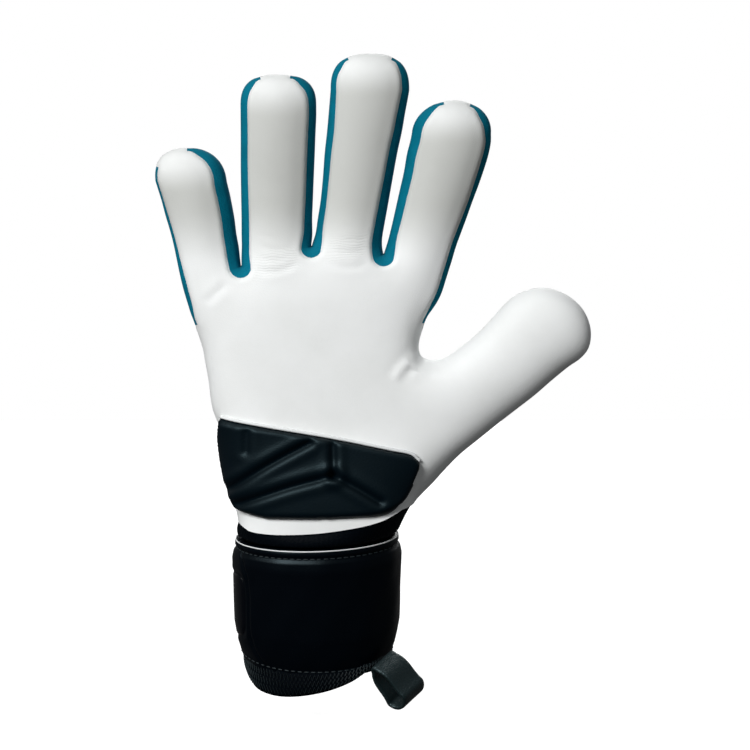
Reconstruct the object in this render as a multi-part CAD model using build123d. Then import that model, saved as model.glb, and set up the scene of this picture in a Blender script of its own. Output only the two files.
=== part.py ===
"""Right-hand goalkeeper glove, standing upright as a raised hand holds it.

The palm faces -Y, the fingers point to +Z and the thumb to +X.
The origin is the middle of the opening that the hand goes into, level with its lowest edge.
The glove is a hollow shell of sewn sheets: a thick latex palm, a thinner back
and teal gussets between them. Each finger folds at its base and at its middle,
the thumb does the same, the wrist strap's end peels open and the pull tab swings.
"""

from build123d import *
import math
import os

# ---------------------------------------------------------------- sheet walls
PALM_WALL = 4.7  # latex and its foam backing
BACK_WALL = 3.2
GUSSET_WALL = 1.8
LINING_WALL = 0.8
SEAM_DEPTH = 7.0  # palm and back seams lie this far from the middle of a finger
WRAP_DEPTH = 4.0  # beside the palm, the latex wraps this far behind the middle
RUN_GAP = 0.3  # between pieces that move past each other

# ---------------------------------------------------------------- palm
# Height, centre, half width and half depth of the hand's outside.
PALM_SECTIONS = {
    "wrist": (70.0, 0.5, 35.0, 25.0),
    "heel": (88.0, 1.5, 39.5, 24.5),
    "thenar": (115.0, 0.5, 44.5, 22.5),
    "middle": (152.0, -3.5, 47.5, 18.0),
    "knuckles": (190.0, -1.2, 59.5, 14.5),
}
WEB_HEIGHTS = {"little_ring": 183.0, "ring_middle": 190.0, "middle_index": 187.5}
GUSSET_END_HEIGHT = 162.0  # where the two outer gussets run out
WEB_DROP = 8.0  # a web's gusset reaches this far under its crotch
WEB_INSET = 4.0  # and stays this far from the middles of its two fingers

# ---------------------------------------------------------------- fingers
# Foot: the point of the axis at the base fold. Lean: from upright, towards the thumb.
# Lower and upper: from base fold to middle fold, and on to the fingertip.
FINGERS = {
    "little": dict(foot=(-47.9, 0.0, 192.0), lean=-12.5, lower=20.5, upper=24.8,
                   foot_half_width=13.6, tip_half_width=15.0),
    "ring": dict(foot=(-16.9, 0.0, 197.5), lean=0.4, lower=34.0, upper=37.0,
                 foot_half_width=15.0, tip_half_width=16.1),
    "middle": dict(foot=(14.1, 0.0, 197.5), lean=7.8, lower=38.0, upper=43.0,
                   foot_half_width=14.0, tip_half_width=16.8),
    "index": dict(foot=(45.9, 0.0, 195.0), lean=15.2, lower=29.5, upper=34.2,
                  foot_half_width=14.8, tip_half_width=16.4),
    "thumb": dict(foot=(65.4, -2.0, 131.8), lean=50.6, lower=26.0, upper=33.0,
                  foot_half_width=18.2, tip_half_width=17.6),
}
FINGER_HALF_DEPTH = 13.0
THUMB_HALF_DEPTH = 14.5
FINGER_CURVE = 4.0  # degrees that each finger segment is set forward at rest
FOOT_REACH = 38.0  # how far a finger's tube runs on into the palm
FOOT_TAPER = 4.0  # and how much narrower it gets there
THUMB_REACH = 44.0
THUMB_TAPER = -3.3  # the thumb's root is wider than its foot
TIP_ROUNDING = 0.8  # length of a fingertip's dome, in tip half widths

# ---------------------------------------------------------------- cuff
# Rings round the wrist: height on the axis, dip towards the palm side and
# rise towards the thumb side, in degrees.
RINGS = {
    "hem_bottom": (8.0, 14.0, 0.0),
    "strap_bottom": (19.0, 14.0, 0.0),
    "strap_top": (69.5, 8.0, 1.7),
    "wrist": (76.0, 5.0, 4.0),
}
CUFF_HALF_WIDTH = 31.0
CUFF_HALF_DEPTH = 23.0
CUFF_WALL = 2.0
HEM_HEIGHT = 9.0
HEM_WALL = 1.4

# ---------------------------------------------------------------- wrist strap
STRAP_FOAM = 2.8
STRAP_SKIN = 1.2
STRAP_EDGE = 1.2  # height of the piping on the strap's top edge
FLAP_ANGLES = (32.0, 148.0)  # tip and root, round the wrist from the thumb over the back
FLAP_SPLIT = 2.5  # degrees between the strap and its flap
FLAP_FOAM = 2.0
PATCH_WALL = 0.9  # hook or loop tape
PATCH_MARGIN = 8.0
PATCH_ANGLES = (40.0, 138.0)
BADGE_WIDTH = 27.0
BADGE_HEIGHT = 31.0
BADGE_CORNER = 6.0
BADGE_CENTRE = (-1.5, 39.0)  # depth and height
BADGE_GAP = 0.3

# ---------------------------------------------------------------- pads and tab
PAD_FOAM = 2.4
PAD_SKIN = 1.2
PAD_PIPING = 1.4
PAD_CORNERS = [(-41.0, 122.0), (43.5, 105.0), (31.5, 81.0), (-36.0, 82.0)]
PAD_ROUNDING = 6.0
BACK_PAD_FOAM = 2.6
BACK_PAD_CORNERS = [(-36.0, 168.0), (33.0, 172.0), (24.0, 118.0), (-28.0, 118.0)]
TAB_WIDTH = 15.0
TAB_TAPE = 1.5
TAB_LENGTH = 21.0
TAB_ROOT_RADIUS = 2.0
TAB_END_RADIUS = 6.6
TAB_FOOT = (26.5, -18.5, 12.6)
TAB_LEAN = 140.0  # degrees from upright, outwards
TAB_TURN = -50.0  # degrees about its own length
TAB_TAIL = 9.0  # length that is sewn in under the strap
TAB_ANGLES = (-48.0, -20.0)

FAR = 400.0
SKIN = {"front": 0.0, "side": 0.0, "back": 0.0}
SHEET = {"front": PALM_WALL, "side": GUSSET_WALL, "back": BACK_WALL}
LINED = {key: wall + LINING_WALL for key, wall in SHEET.items()}


def save(name, *solids):
    """Write one sub-part to its STEP file."""
    shape = solids[0] if len(solids) == 1 else Compound(children=list(solids))
    export_step(shape, f"parts/{name}.step")


def front_of(depth):
    """All space in front of the plane y = depth."""
    return Pos(0, depth - FAR / 2, 0) * Box(FAR * 2, FAR, FAR * 2)


def behind(depth):
    """All space behind the plane y = depth."""
    return Pos(0, depth + FAR / 2, 0) * Box(FAR * 2, FAR, FAR * 2)


def between(front, back):
    """The slab from y = front to y = back."""
    return Pos(0, (front + back) / 2, 0) * Box(FAR * 2, back - front, FAR * 2)


def above():
    """All space above z = 0, to be placed with a frame."""
    return Pos(0, 0, FAR / 2) * Box(FAR, FAR, FAR)


def below():
    """All space below z = 0, to be placed with a frame."""
    return Pos(0, 0, -FAR / 2) * Box(FAR, FAR, FAR)


# ================================================================ fingers
def half_depth(name):
    return THUMB_HALF_DEPTH if name == "thumb" else FINGER_HALF_DEPTH


def lower_frame(name):
    """Frame at a finger's base fold: Z along the finger, Y towards its back."""
    finger = FINGERS[name]
    return Pos(*finger["foot"]) * Rot(0, finger["lean"], 0) * Rot(FINGER_CURVE, 0, 0)


def middle_pivot(name):
    """The point on the palm-side skin where a finger's middle folds."""
    return (lower_frame(name) * Pos(0, -half_depth(name), FINGERS[name]["lower"])).position


def upper_frame(name):
    """Frame at the middle fold, turned forward about the palm-side skin."""
    turn = Rot(0, FINGERS[name]["lean"], 0) * Rot(2 * FINGER_CURVE, 0, 0)
    return Pos(middle_pivot(name)) * turn * Pos(0, half_depth(name), 0)


def fold_lean(name):
    """Fingers fold about the line of the knuckles, the thumb about its own."""
    return FINGERS[name]["lean"] if name == "thumb" else 0.0


def base_fold(name):
    """Frame of the base fold, X along its axis and Z across its cut."""
    skin = Pos((lower_frame(name) * Pos(0, -half_depth(name), 0)).position)
    return skin * Rot(0, fold_lean(name), 0) * Rot(FINGER_CURVE, 0, 0)


def middle_fold(name):
    """Frame of the middle fold, X along its axis and Z across its cut."""
    turn = Rot(0, fold_lean(name), 0) * Rot(2 * FINGER_CURVE, 0, 0)
    return Pos(middle_pivot(name)) * turn


def oval_tube(frame, sections, depth, shift):
    """A tube through ovals given as (height, half width)."""
    return loft([frame * Pos(0, shift, height) * Ellipse(width, depth)
                 for height, width in sections])


def finger_body(name, walls):
    """A finger's lower and upper tubes, inset by the given walls."""
    finger = FINGERS[name]
    depth = half_depth(name) - (walls["front"] + walls["back"]) / 2
    shift = (walls["front"] - walls["back"]) / 2
    foot = finger["foot_half_width"] - walls["side"]
    tip = finger["tip_half_width"] - walls["side"]
    middle = foot + (tip - foot) * finger["lower"] / (finger["lower"] + finger["upper"])
    reach = THUMB_REACH if name == "thumb" else FOOT_REACH
    taper = THUMB_TAPER if name == "thumb" else FOOT_TAPER
    overrun = half_depth(name)
    lower = oval_tube(
        lower_frame(name),
        [(-reach, foot - taper), (0, foot), (finger["lower"] + overrun, middle)],
        depth, shift,
    )
    dome = finger["tip_half_width"] * TIP_ROUNDING
    straight = finger["upper"] - dome
    upper = oval_tube(
        upper_frame(name), [(-overrun, middle), (straight, tip)], depth, shift
    )
    cap = scale(Sphere(1.0), by=(tip, depth, dome - walls["front"])) & above()
    upper += upper_frame(name) * Pos(0, shift, straight) * cap
    return lower, upper


def split_finger(shell, frame, name):
    """Cut one segment of a finger into palm latex, gusset and back."""
    if name == "thumb":
        cuts = {"latex": front_of(WRAP_DEPTH), "back": behind(WRAP_DEPTH)}
    else:
        cuts = {
            "latex": front_of(-SEAM_DEPTH),
            "gusset": between(-SEAM_DEPTH, SEAM_DEPTH),
            "back": behind(SEAM_DEPTH),
        }
    return {part: shell & (frame * cut) for part, cut in cuts.items()}


def make_finger(name):
    """The two moving segments of one finger, each as its own sheets."""
    outer_lower, outer_upper = finger_body(name, SKIN)
    inner_lower, inner_upper = finger_body(name, LINED)
    base, middle = base_fold(name), middle_fold(name)
    gap = Pos(0, 0, RUN_GAP)
    lower = (outer_lower - inner_lower) & (base * gap * above()) & (middle * below())
    upper = (outer_upper - inner_upper) & (middle * gap * above())
    segments = (("lower", lower, lower_frame(name)), ("upper", upper, upper_frame(name)))
    for segment, shell, frame in segments:
        for part, piece in split_finger(shell, frame, name).items():
            save(f"{name}_{segment}_{part}", *piece.solids())


# ================================================================ palm
def palm_tube(walls, grow=0.0):
    """The hand's oval tube from wrist to knuckles."""
    side = walls["front"] - grow
    depth_loss = (walls["front"] + walls["back"]) / 2 - grow
    shift = (walls["front"] - walls["back"]) / 2
    return loft([
        Pos(centre, shift, height) * Ellipse(width - side, depth - depth_loss)
        for height, centre, width, depth in PALM_SECTIONS.values()
    ])


def prism(points, rounding=0.0):
    """A block of the given outline in X and Z, running from front to back."""
    outline = make_face(Plane.XZ * Polyline(*points, close=True))
    if rounding:
        outline = fillet(outline.vertices(), rounding)
    return extrude(outline, FAR / 2, both=True)


def web_prism():
    """All space under the line of the crotches."""
    feet = [FINGERS[name]["foot"][0] for name in ("little", "ring", "middle", "index")]
    heights = list(WEB_HEIGHTS.values())
    middles = [(left + right) / 2 for left, right in zip(feet, feet[1:])]
    line = [(-FAR / 2, heights[0]), *zip(middles, heights), (FAR / 2, heights[-1])]
    return prism([*line, (FAR / 2, 0), (-FAR / 2, 0)])


def hand_body(walls):
    """The hand with the stubs of its five fingers, up to their base folds."""
    body = palm_tube(walls) & (Pos(0, 0, -walls["side"]) * web_prism())
    for name in FINGERS:
        stub, _ = finger_body(name, walls)
        overlap = Pos(0, 0, 1.0 if walls["side"] else 0.0)
        body += stub & (base_fold(name) * overlap * below())
    return body


def ring_plane(ring):
    """The tilted plane of one of the rings round the wrist."""
    height, dip, rise = RINGS[ring]
    return Pos(0, 0, height) * Rot(dip, 0, 0) * Rot(0, -rise, 0)


def gusset_zones():
    """The blocks that hold the palm's five lengths of gusset."""
    feet = [FINGERS[name]["foot"][0] for name in ("little", "ring", "middle", "index")]
    zones = {
        "little_outer_gusset": (-FAR / 2, feet[0], GUSSET_END_HEIGHT),
        "index_outer_gusset": (feet[3], FAR / 2, GUSSET_END_HEIGHT),
    }
    for (web, height), left, right in zip(WEB_HEIGHTS.items(), feet, feet[1:]):
        zones[f"{web}_web"] = (left + WEB_INSET, right - WEB_INSET, height - WEB_DROP)
    return {
        name: Pos((left + right) / 2, 0, low + FAR / 2)
        * Box(right - left, 2 * SEAM_DEPTH, FAR)
        for name, (left, right, low) in zones.items()
    }


def make_hand():
    """Palm latex, back of the hand, their linings and the gussets between them."""
    skin, sheet, lined = hand_body(SKIN), hand_body(SHEET), hand_body(LINED)
    wrist = ring_plane("wrist") * above()
    shell = (skin - sheet) & wrist
    latex = shell & front_of(WRAP_DEPTH)
    back = shell & behind(WRAP_DEPTH)
    for name, zone in gusset_zones().items():
        save(name, *(shell & zone).solids())
        latex -= zone
        back -= zone
    lining = (sheet - lined) & skin & wrist
    save("palm_latex", *latex.solids())
    save("back_hand", *back.solids())
    save("palm_lining", *(lining & front_of(WRAP_DEPTH)).solids())
    save("back_lining", *(lining & behind(WRAP_DEPTH)).solids())
    return skin


def make_pads(hand):
    """The quilted pad on the heel of the hand and the padded back panel."""
    foam = palm_tube(SKIN, PAD_FOAM) - hand
    skin = palm_tube(SKIN, PAD_FOAM + PAD_SKIN) - palm_tube(SKIN, PAD_FOAM) - hand
    heel = prism(PAD_CORNERS, PAD_ROUNDING) & front_of(0)
    save("heel_pad_foam", *(foam & heel).solids())
    save("heel_pad_skin", *(skin & heel).solids())
    top_left, top_right = PAD_CORNERS[:2]
    strip = [(x, z + lift) for lift, ends in ((0, (top_left, top_right)),
             (PAD_PIPING, (top_right, top_left))) for x, z in ends]
    save("heel_pad_piping", *(foam & prism(strip) & front_of(0)).solids())
    pad = palm_tube(SKIN, BACK_PAD_FOAM) - hand
    save("back_pad", *(pad & prism(BACK_PAD_CORNERS, PAD_ROUNDING) & behind(0)).solids())


# ================================================================ cuff
def cuff_oval(offset):
    """The cuff's outline, grown by an offset."""
    return Ellipse(CUFF_HALF_WIDTH + offset, CUFF_HALF_DEPTH + offset)


def cuff_ring(inner, outer, bottom, top):
    """An upright ring between two offsets and two tilted planes."""
    tube = extrude(cuff_oval(outer) - cuff_oval(inner), FAR / 2)
    return tube & (bottom * above()) & (top * below())


def wedge(start, end):
    """The sector of space between two angles round the wrist."""
    reach = FAR / 2
    steps = max(2, math.ceil((end - start) / 45.0))
    turns = [start + (end - start) * step / steps for step in range(steps + 1)]
    arc = [(reach * math.cos(math.radians(turn)), reach * math.sin(math.radians(turn)))
           for turn in turns]
    sector = make_face(Polyline((0, 0), *arc, close=True))
    return extrude(sector, FAR)


def elastic_body(wall):
    """The elastic's inside or outside: upright, then widening above the strap."""
    _, centre, width, depth = PALM_SECTIONS["wrist"]
    tuck = CUFF_WALL / 2
    top = ring_plane("strap_top")
    flare = loft([top * Pos(0, 0, -tuck) * cuff_oval(-wall - tuck),
                  ring_plane("wrist") * Pos(centre, 0, 0) * Ellipse(width - wall, depth - wall)])
    return (extrude(cuff_oval(-wall), FAR / 2) & (top * below())) + flare


def make_cuff():
    """The knitted elastic round the wrist and its folded hem."""
    bottom = ring_plane("hem_bottom")
    elastic = (elastic_body(0.0) - elastic_body(CUFF_WALL)) & (bottom * above())
    save("wrist_elastic", elastic)
    save("cuff_hem", cuff_ring(0.0, HEM_WALL, bottom, bottom * Pos(0, 0, HEM_HEIGHT)))


def tab_tail():
    """The end of the pull tab's tape, sewn flat to the elastic."""
    bottom = ring_plane("strap_bottom")
    ring = cuff_ring(0.0, TAB_TAPE, bottom, bottom * Pos(0, 0, TAB_TAIL))
    return ring & wedge(*TAB_ANGLES)


def badge_prism(clearance):
    """A block with rounded corners that runs through the strap's outer side."""
    width, height = BADGE_WIDTH + 2 * clearance, BADGE_HEIGHT + 2 * clearance
    plate = Plane.YZ * RectangleRounded(width, height, BADGE_CORNER + clearance)
    depth, centre = BADGE_CENTRE
    return Pos(0, depth, centre) * extrude(plate, -FAR)


def make_strap():
    """The strap's fixed run: foam, outer skin, top piping and a bare badge."""
    bottom, top = ring_plane("strap_bottom"), ring_plane("strap_top")
    start = FLAP_ANGLES[1] + FLAP_SPLIT
    run = wedge(start, 360.0 + FLAP_ANGLES[0] - FLAP_SPLIT)
    outside = STRAP_FOAM + STRAP_SKIN
    foam = cuff_ring(0.0, STRAP_FOAM, bottom, top) & run
    skin = cuff_ring(STRAP_FOAM, outside, bottom, top) & run
    save("strap_foam", foam - tab_tail())
    save("strap_skin", skin - badge_prism(BADGE_GAP))
    save("strap_badge", skin & badge_prism(0.0))
    piping = cuff_ring(STRAP_FOAM - STRAP_EDGE, outside, top, top * Pos(0, 0, STRAP_EDGE))
    save("strap_piping", (piping & run) - elastic_body(0.0))
    save("tab_tail", tab_tail())


def make_flap():
    """The strap's loose end, with hook tape under it and loop tape on the cuff."""
    bottom, top = ring_plane("strap_bottom"), ring_plane("strap_top")
    sector = wedge(*FLAP_ANGLES)
    margin = Pos(0, 0, PATCH_MARGIN)
    patch_room = wedge(*PATCH_ANGLES)
    hook_inside = PATCH_WALL + RUN_GAP
    foam_inside = hook_inside + PATCH_WALL
    skin_inside = foam_inside + FLAP_FOAM
    patches = {"loop_patch": 0.0, "hook_patch": hook_inside}
    for name, inside in patches.items():
        ring = cuff_ring(inside, inside + PATCH_WALL, bottom * margin,
                         top * margin.inverse() * margin.inverse())
        save(name, ring & patch_room)
    save("flap_foam", cuff_ring(foam_inside, skin_inside, bottom, top) & sector)
    save("flap_skin", cuff_ring(skin_inside, skin_inside + STRAP_SKIN, bottom, top) & sector)


def teardrop(inset):
    """The pull tab's outline from the side, with its root at the origin."""
    root = Pos(0, TAB_ROOT_RADIUS) * Circle(TAB_ROOT_RADIUS - inset)
    end = Pos(0, TAB_LENGTH - TAB_END_RADIUS) * Circle(TAB_END_RADIUS - inset)
    return make_hull([*root.edges(), *end.edges()])


def make_pull_tab():
    """A loop of webbing that hangs from the strap's lower edge."""
    frame = Pos(*TAB_FOOT) * Rot(0, TAB_LEAN, 0) * Rot(0, 0, TAB_TURN)
    loop = teardrop(0.0) - teardrop(TAB_TAPE)
    tab = extrude(Plane.YZ * loop, TAB_WIDTH / 2, both=True)
    save("pull_tab", frame * Pos(0, 0, RUN_GAP) * tab)


def main():
    os.makedirs("parts", exist_ok=True)
    for name in FINGERS:
        make_finger(name)
    make_pads(make_hand())
    make_cuff()
    make_strap()
    make_flap()
    make_pull_tab()


if __name__ == "__main__":
    main()
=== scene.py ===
import math

import bpy
import numpy as np
from bpy.props import FloatProperty, FloatVectorProperty, IntProperty, PointerProperty
from mathutils import Matrix, Vector
from mathutils.bvhtree import BVHTree
from mathutils.geometry import delaunay_2d_cdt


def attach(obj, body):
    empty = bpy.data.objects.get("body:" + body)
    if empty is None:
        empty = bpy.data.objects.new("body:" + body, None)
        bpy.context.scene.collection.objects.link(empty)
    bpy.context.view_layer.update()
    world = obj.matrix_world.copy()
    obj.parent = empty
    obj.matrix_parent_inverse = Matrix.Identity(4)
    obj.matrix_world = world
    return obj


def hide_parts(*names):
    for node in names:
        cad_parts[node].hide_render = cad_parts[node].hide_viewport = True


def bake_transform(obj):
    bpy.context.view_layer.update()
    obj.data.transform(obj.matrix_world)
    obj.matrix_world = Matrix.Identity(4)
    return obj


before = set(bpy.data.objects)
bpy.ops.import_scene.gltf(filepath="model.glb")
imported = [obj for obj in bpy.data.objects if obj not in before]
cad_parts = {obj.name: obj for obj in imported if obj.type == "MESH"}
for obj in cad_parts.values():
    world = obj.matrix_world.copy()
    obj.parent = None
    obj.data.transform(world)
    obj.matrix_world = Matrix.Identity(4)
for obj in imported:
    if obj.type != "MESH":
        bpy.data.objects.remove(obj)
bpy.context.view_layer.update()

bl_info = {
    "name": "Goalkeeper Glove",
    "version": (1, 0, 0),
    "blender": (4, 5, 0),
    "location": "View3D > Sidebar > Glove",
    "description": "Builds a padded goalkeeper glove with gusseted fingers and a wrist strap",
    "category": "Object",
}

MM = 0.001

# ---------------------------------------------------------------------------
# Shape of the hand, in millimetres: X runs to the thumb, Z up the fingers
# ---------------------------------------------------------------------------

PALM_OUTER_SIDE = [
    (-34.5, 76.0), (-35.4, 80.6), (-37.0, 86.0), (-38.6, 92.0), (-39.9, 99.0), (-40.8, 106.0),
    (-41.6, 112.0), (-43.2, 118.0), (-45.4, 124.0), (-46.4, 130.0), (-47.1, 136.5), (-48.3, 143.0),
    (-49.4, 149.5), (-51.4, 156.0), (-54.1, 163.2), (-56.1, 169.8), (-57.8, 175.6), (-59.2, 181.5),
    (-60.6, 188.2), (-61.9, 194.4), (-63.4, 200.4),
]
PALM_THUMB_SIDE = [
    (59.3, 193.9), (57.4, 187.5), (55.2, 180.5), (53.2, 174.2), (51.2, 170.0), (49.0, 166.6), (46.9, 163.2),
    (44.9, 158.2), (43.6, 153.6), (43.3, 149.8), (44.6, 146.6), (47.4, 145.4), (50.9, 145.3), (55.4, 146.6),
]
THUMB_OUTLINE = [
    (61.9, 151.2), (68.5, 156.7), (75.0, 163.6), (79.6, 168.9), (84.2, 172.9), (90.6, 175.8),
    (96.6, 176.6), (103.0, 175.2), (108.6, 172.2), (113.0, 168.0), (115.9, 162.6), (117.0, 156.4),
    (115.9, 150.4), (112.6, 146.2), (107.6, 142.6), (100.3, 136.5), (93.2, 130.2), (84.8, 123.6),
    (76.6, 117.2), (68.8, 110.8), (61.0, 104.3), (55.0, 98.2), (49.4, 92.0), (45.2, 87.8), (41.5, 83.8),
]
# Edges of each finger above the gaps: (height, left), then (height, right)
FINGER_EDGES = {
    "little": ([(207.3, -65.4), (213.7, -67.1), (219.0, -68.7)], [(219.0, -38.2), (217.0, -37.7)]),
    "ring": ([(228.0, -32.9), (242.0, -32.8)], [(250.0, -0.5), (243.8, -0.8), (234.0, -1.2)]),
    "middle": (
        [(234.0, 3.0), (244.0, 4.1), (254.0, 5.0)],
        [(258.0, 38.6), (251.0, 37.3), (243.8, 36.1), (234.5, 34.1)],
    ),
    "index": (
        [(234.0, 38.2), (239.0, 39.5)],
        [(239.0, 74.0), (233.5, 73.0), (228.3, 71.5), (220.5, 68.9),
         (213.7, 66.4), (206.0, 63.7), (200.0, 61.5)],
    ),
}
# Tip of each finger: height where it starts, its edges there, top, squareness and lean
FINGER_TIPS = {
    "little": (222.0, -69.6, -38.9, 236.4, 2.3, -0.10),
    "ring": (254.0, -32.8, -0.5, 267.7, 2.7, 0.0),
    "middle": (261.0, 5.6, 39.1, 276.7, 2.6, 0.0),
    "index": (242.5, 40.2, 74.0, 256.7, 2.05, 0.07),
}
# Gaps between the fingers, from the top down: height, middle and half its width
FINGER_GAPS = {
    "little_ring": [
        (214.5, -35.0, 2.2), (206.0, -34.2, 1.5), (199.1, -33.8, 1.08), (193.9, -33.3, 0.65),
        (188.8, -33.1, 0.3), (185.8, -32.9, 0.14),
    ],
    "ring_middle": [
        (224.0, 0.3, 1.95), (213.7, -0.43, 1.65), (206.0, -1.2, 1.2), (199.1, -1.7, 0.65),
        (196.2, -2.3, 0.3), (194.3, -2.7, 0.14),
    ],
    "middle_index": [
        (226.0, 34.7, 2.15), (218.0, 33.1, 1.95), (209.4, 31.4, 1.75), (202.5, 30.0, 1.6),
        (196.5, 28.8, 1.3), (192.6, 28.3, 0.6), (190.9, 28.2, 0.14),
    ],
}
FINGERS, GAPS = tuple(FINGER_TIPS), tuple(FINGER_GAPS)
OUTLINE_STEP, TIP_STEP = 1.7, 1.3
# Where the line between two fingers runs above the top of their gap: height and x
GAP_LINES_ABOVE = {
    "little_ring": [(222.0, -35.9), (240.0, -36.6)],
    "ring_middle": [(234.0, 0.9), (244.0, 1.7), (254.0, 2.2), (280.0, 3.0)],
    "middle_index": [(234.0, 36.2), (243.8, 38.2), (254.0, 41.4), (280.0, 44.0)],
}
# Width of coloured gusset that shows from the palm side: (x, height, width) along the outline.
# Each stretch starts and ends with no width.
GUSSET_SHOWS = [
    # Little finger's outer side
    (-52.6, 159.4, 0.0), (-54.2, 163.4, 0.9), (-55.9, 169.0, 1.7), (-58.6, 179.0, 1.8), (-60.6, 188.2, 1.3),
    (-62.8, 198.0, 1.0), (-65.4, 207.3, 1.0), (-68.7, 219.0, 0.6), (-68.9, 229.0, 0.0),
    # Down the little finger to the gap's foot, and up the ring finger
    (-55.0, 236.3, 0.0), (-50.0, 235.2, 2.2), (-44.6, 231.8, 3.9), (-40.8, 226.5, 4.6), (-38.2, 218.5, 4.9),
    (-36.9, 212.0, 4.8), (-35.5, 203.0, 4.8), (-34.6, 198.0, 4.8), (-33.5, 190.5, 4.9), (-32.9, 185.7, 4.2),
    (-32.8, 190.5, 2.9), (-32.7, 200.0, 3.1), (-32.8, 215.0, 2.9), (-32.9, 230.0, 2.7), (-32.8, 242.0, 2.7),
    (-32.8, 253.0, 2.6), (-31.8, 260.6, 2.8), (-29.0, 265.0, 2.4), (-24.0, 267.4, 0.0),
    # Down the ring finger, and up the middle finger
    (-11.0, 267.5, 0.0), (-5.4, 265.6, 2.7), (-1.8, 260.8, 3.0), (-0.5, 253.0, 2.6), (-1.0, 240.0, 2.7),
    (-1.6, 228.0, 2.7), (-1.9, 216.0, 2.6), (-2.3, 206.0, 2.7), (-2.6, 199.0, 3.1), (-2.7, 194.2, 4.0),
    (-1.6, 200.2, 2.2), (0.3, 207.0, 2.3), (1.5, 216.0, 2.1), (2.5, 230.0, 2.3), (4.1, 244.0, 2.6),
    (5.2, 256.0, 2.2), (6.0, 265.0, 1.9), (8.0, 271.8, 2.0), (12.6, 276.0, 0.0),
    # Down the middle finger, and up the index finger
    (32.4, 275.9, 0.0), (36.9, 271.6, 2.1), (39.0, 265.0, 2.7), (38.6, 258.0, 2.7), (36.6, 246.0, 3.1),
    (34.4, 236.0, 3.2), (32.0, 224.0, 3.2), (30.0, 212.0, 3.5), (28.7, 204.0, 3.6), (27.8, 197.0, 3.7),
    (28.2, 190.8, 4.3), (29.6, 198.0, 2.7), (31.8, 205.0, 2.9), (34.1, 214.0, 3.1), (36.2, 223.0, 3.3),
    (37.9, 232.0, 3.4), (39.8, 241.0, 3.6), (41.4, 247.6, 3.6), (45.4, 253.2, 2.9), (53.4, 256.6, 0.0),
    # Index finger's outer side
    (65.4, 254.9, 0.0), (70.8, 250.8, 2.7), (73.5, 245.6, 2.6), (74.0, 239.5, 1.9), (72.2, 230.5, 2.0),
    (69.2, 221.5, 1.8), (66.4, 213.7, 1.4), (63.0, 204.0, 1.7), (60.2, 196.6, 1.8), (57.4, 187.5, 1.8),
    (55.2, 180.5, 1.8), (53.0, 173.8, 1.8), (50.8, 169.4, 1.8), (48.8, 166.3, 1.2), (46.1, 161.6, 0.0),
]
# How far along the outline the next gusset place is looked for: the first time, then each time
GUSSET_SEARCH_FIRST, GUSSET_SEARCH = 400.0, 42.0
GUSSET_NEARER = 0.04
# Behind the edge: width of gusset, and of latex that wraps round where there is no gusset
GUSSET_BACK, GUSSET_BACK_EASE = 5.0, 12.0
WRAP_BACK, WRAP_BACK_FROM, WRAP_BACK_EASE = 3.2, 9.0, 16.0
LEAST_SEAM = 0.8
# The rim: rows up to the seam, rows in all, how far past the seam it reaches, and its least reach
SEAM_ROWS, RIM_ROWS = 3, 8
RIM_EXTRA, RIM_LEAST = 3.2, 5.6
# How strongly the rows crowd towards the edge, and past the seam towards the seam
SEAM_POWER, RIM_POWER = 2, 1.4
FRONT_STEP, BACK_STEP = 1.35, 1.9
# Filling: distance between rows, and from the edge to the first points, as parts of a step
FILL_ROW, FILL_EDGE = 0.866, 0.72
# The seam's valley (depth, half width) and the soft ridge beside it (height, distance, half width)
SEAM_VALLEY = (0.60, 0.75)
SEAM_RIDGE = (0.30, 2.1, 1.2)

# Lower edge of the palm's latex, from the little-finger side to the thumb side
PALM_FOOT = [
    (-34.5, 76.0), (-32.0, 74.6), (-29.5, 73.2), (-22.8, 72.3), (-12.0, 72.2), (0.9, 73.0), (15.0, 75.0),
    (23.0, 76.7), (28.4, 78.4), (32.4, 80.4), (36.6, 82.6), (41.5, 83.8),
]
PALM_FOOT_STEP = 1.5

# Swelling: how fast it levels off, its size on each side, and its growth towards the wrist
PUFF_SPREAD = 0.080
# The solve stops when what is left has fallen to this part of its start, or after so many rounds
PUFF_EXACT, PUFF_ROUNDS = 1e-10, 2500
PUFF_FRONT, PUFF_BACK = 1.50, 1.44
WRIST_GROWTH = 0.42
WRIST_GROWTH_FROM, WRIST_GROWTH_TO = 122.0, 74.0
# The fingers and the thumb lean forward from their roots
FINGER_BEND_FROM, FINGER_BEND_EASE = 190.0, 9.0
FINGER_BEND = 0.00055
FINGER_TILT = 0.115
# A place on the thumb's middle line and the line's direction, then how the thumb comes forward
THUMB_BASE = (64.6, 131.1)
THUMB_ALONG = (0.773, 0.635)
THUMB_FORWARD, THUMB_FORWARD_EASE = 2.0, 25.0
THUMB_BEND = 0.0016
THUMB_BEND_ASIDE, THUMB_BEND_FADE = 52.0, 30.0
# The thumb's own part of the outline lies below this height and nearer than this to its middle line
THUMB_BELOW, THUMB_ASIDE = 182.0, 23.2
WALLS = {"latex": 3.4, "gusset": 1.6, "back": 2.4}
LINING_DEPTH, LINING_WALL = 4.6, 0.8

# Along each digit: base fold's start and end, where its upper length starts, middle fold's start and end
FOLDS = {
    "little": (187.0, 199.0, 202.5, 205.0, 218.0),
    "ring": (193.5, 206.0, 213.0, 224.0, 238.0),
    "middle": (193.5, 206.0, 215.0, 227.0, 241.0),
    "index": (191.0, 204.0, 209.5, 216.0, 230.0),
    "thumb": (3.0, 14.5, 16.5, 18.5, 33.0),
}

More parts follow.
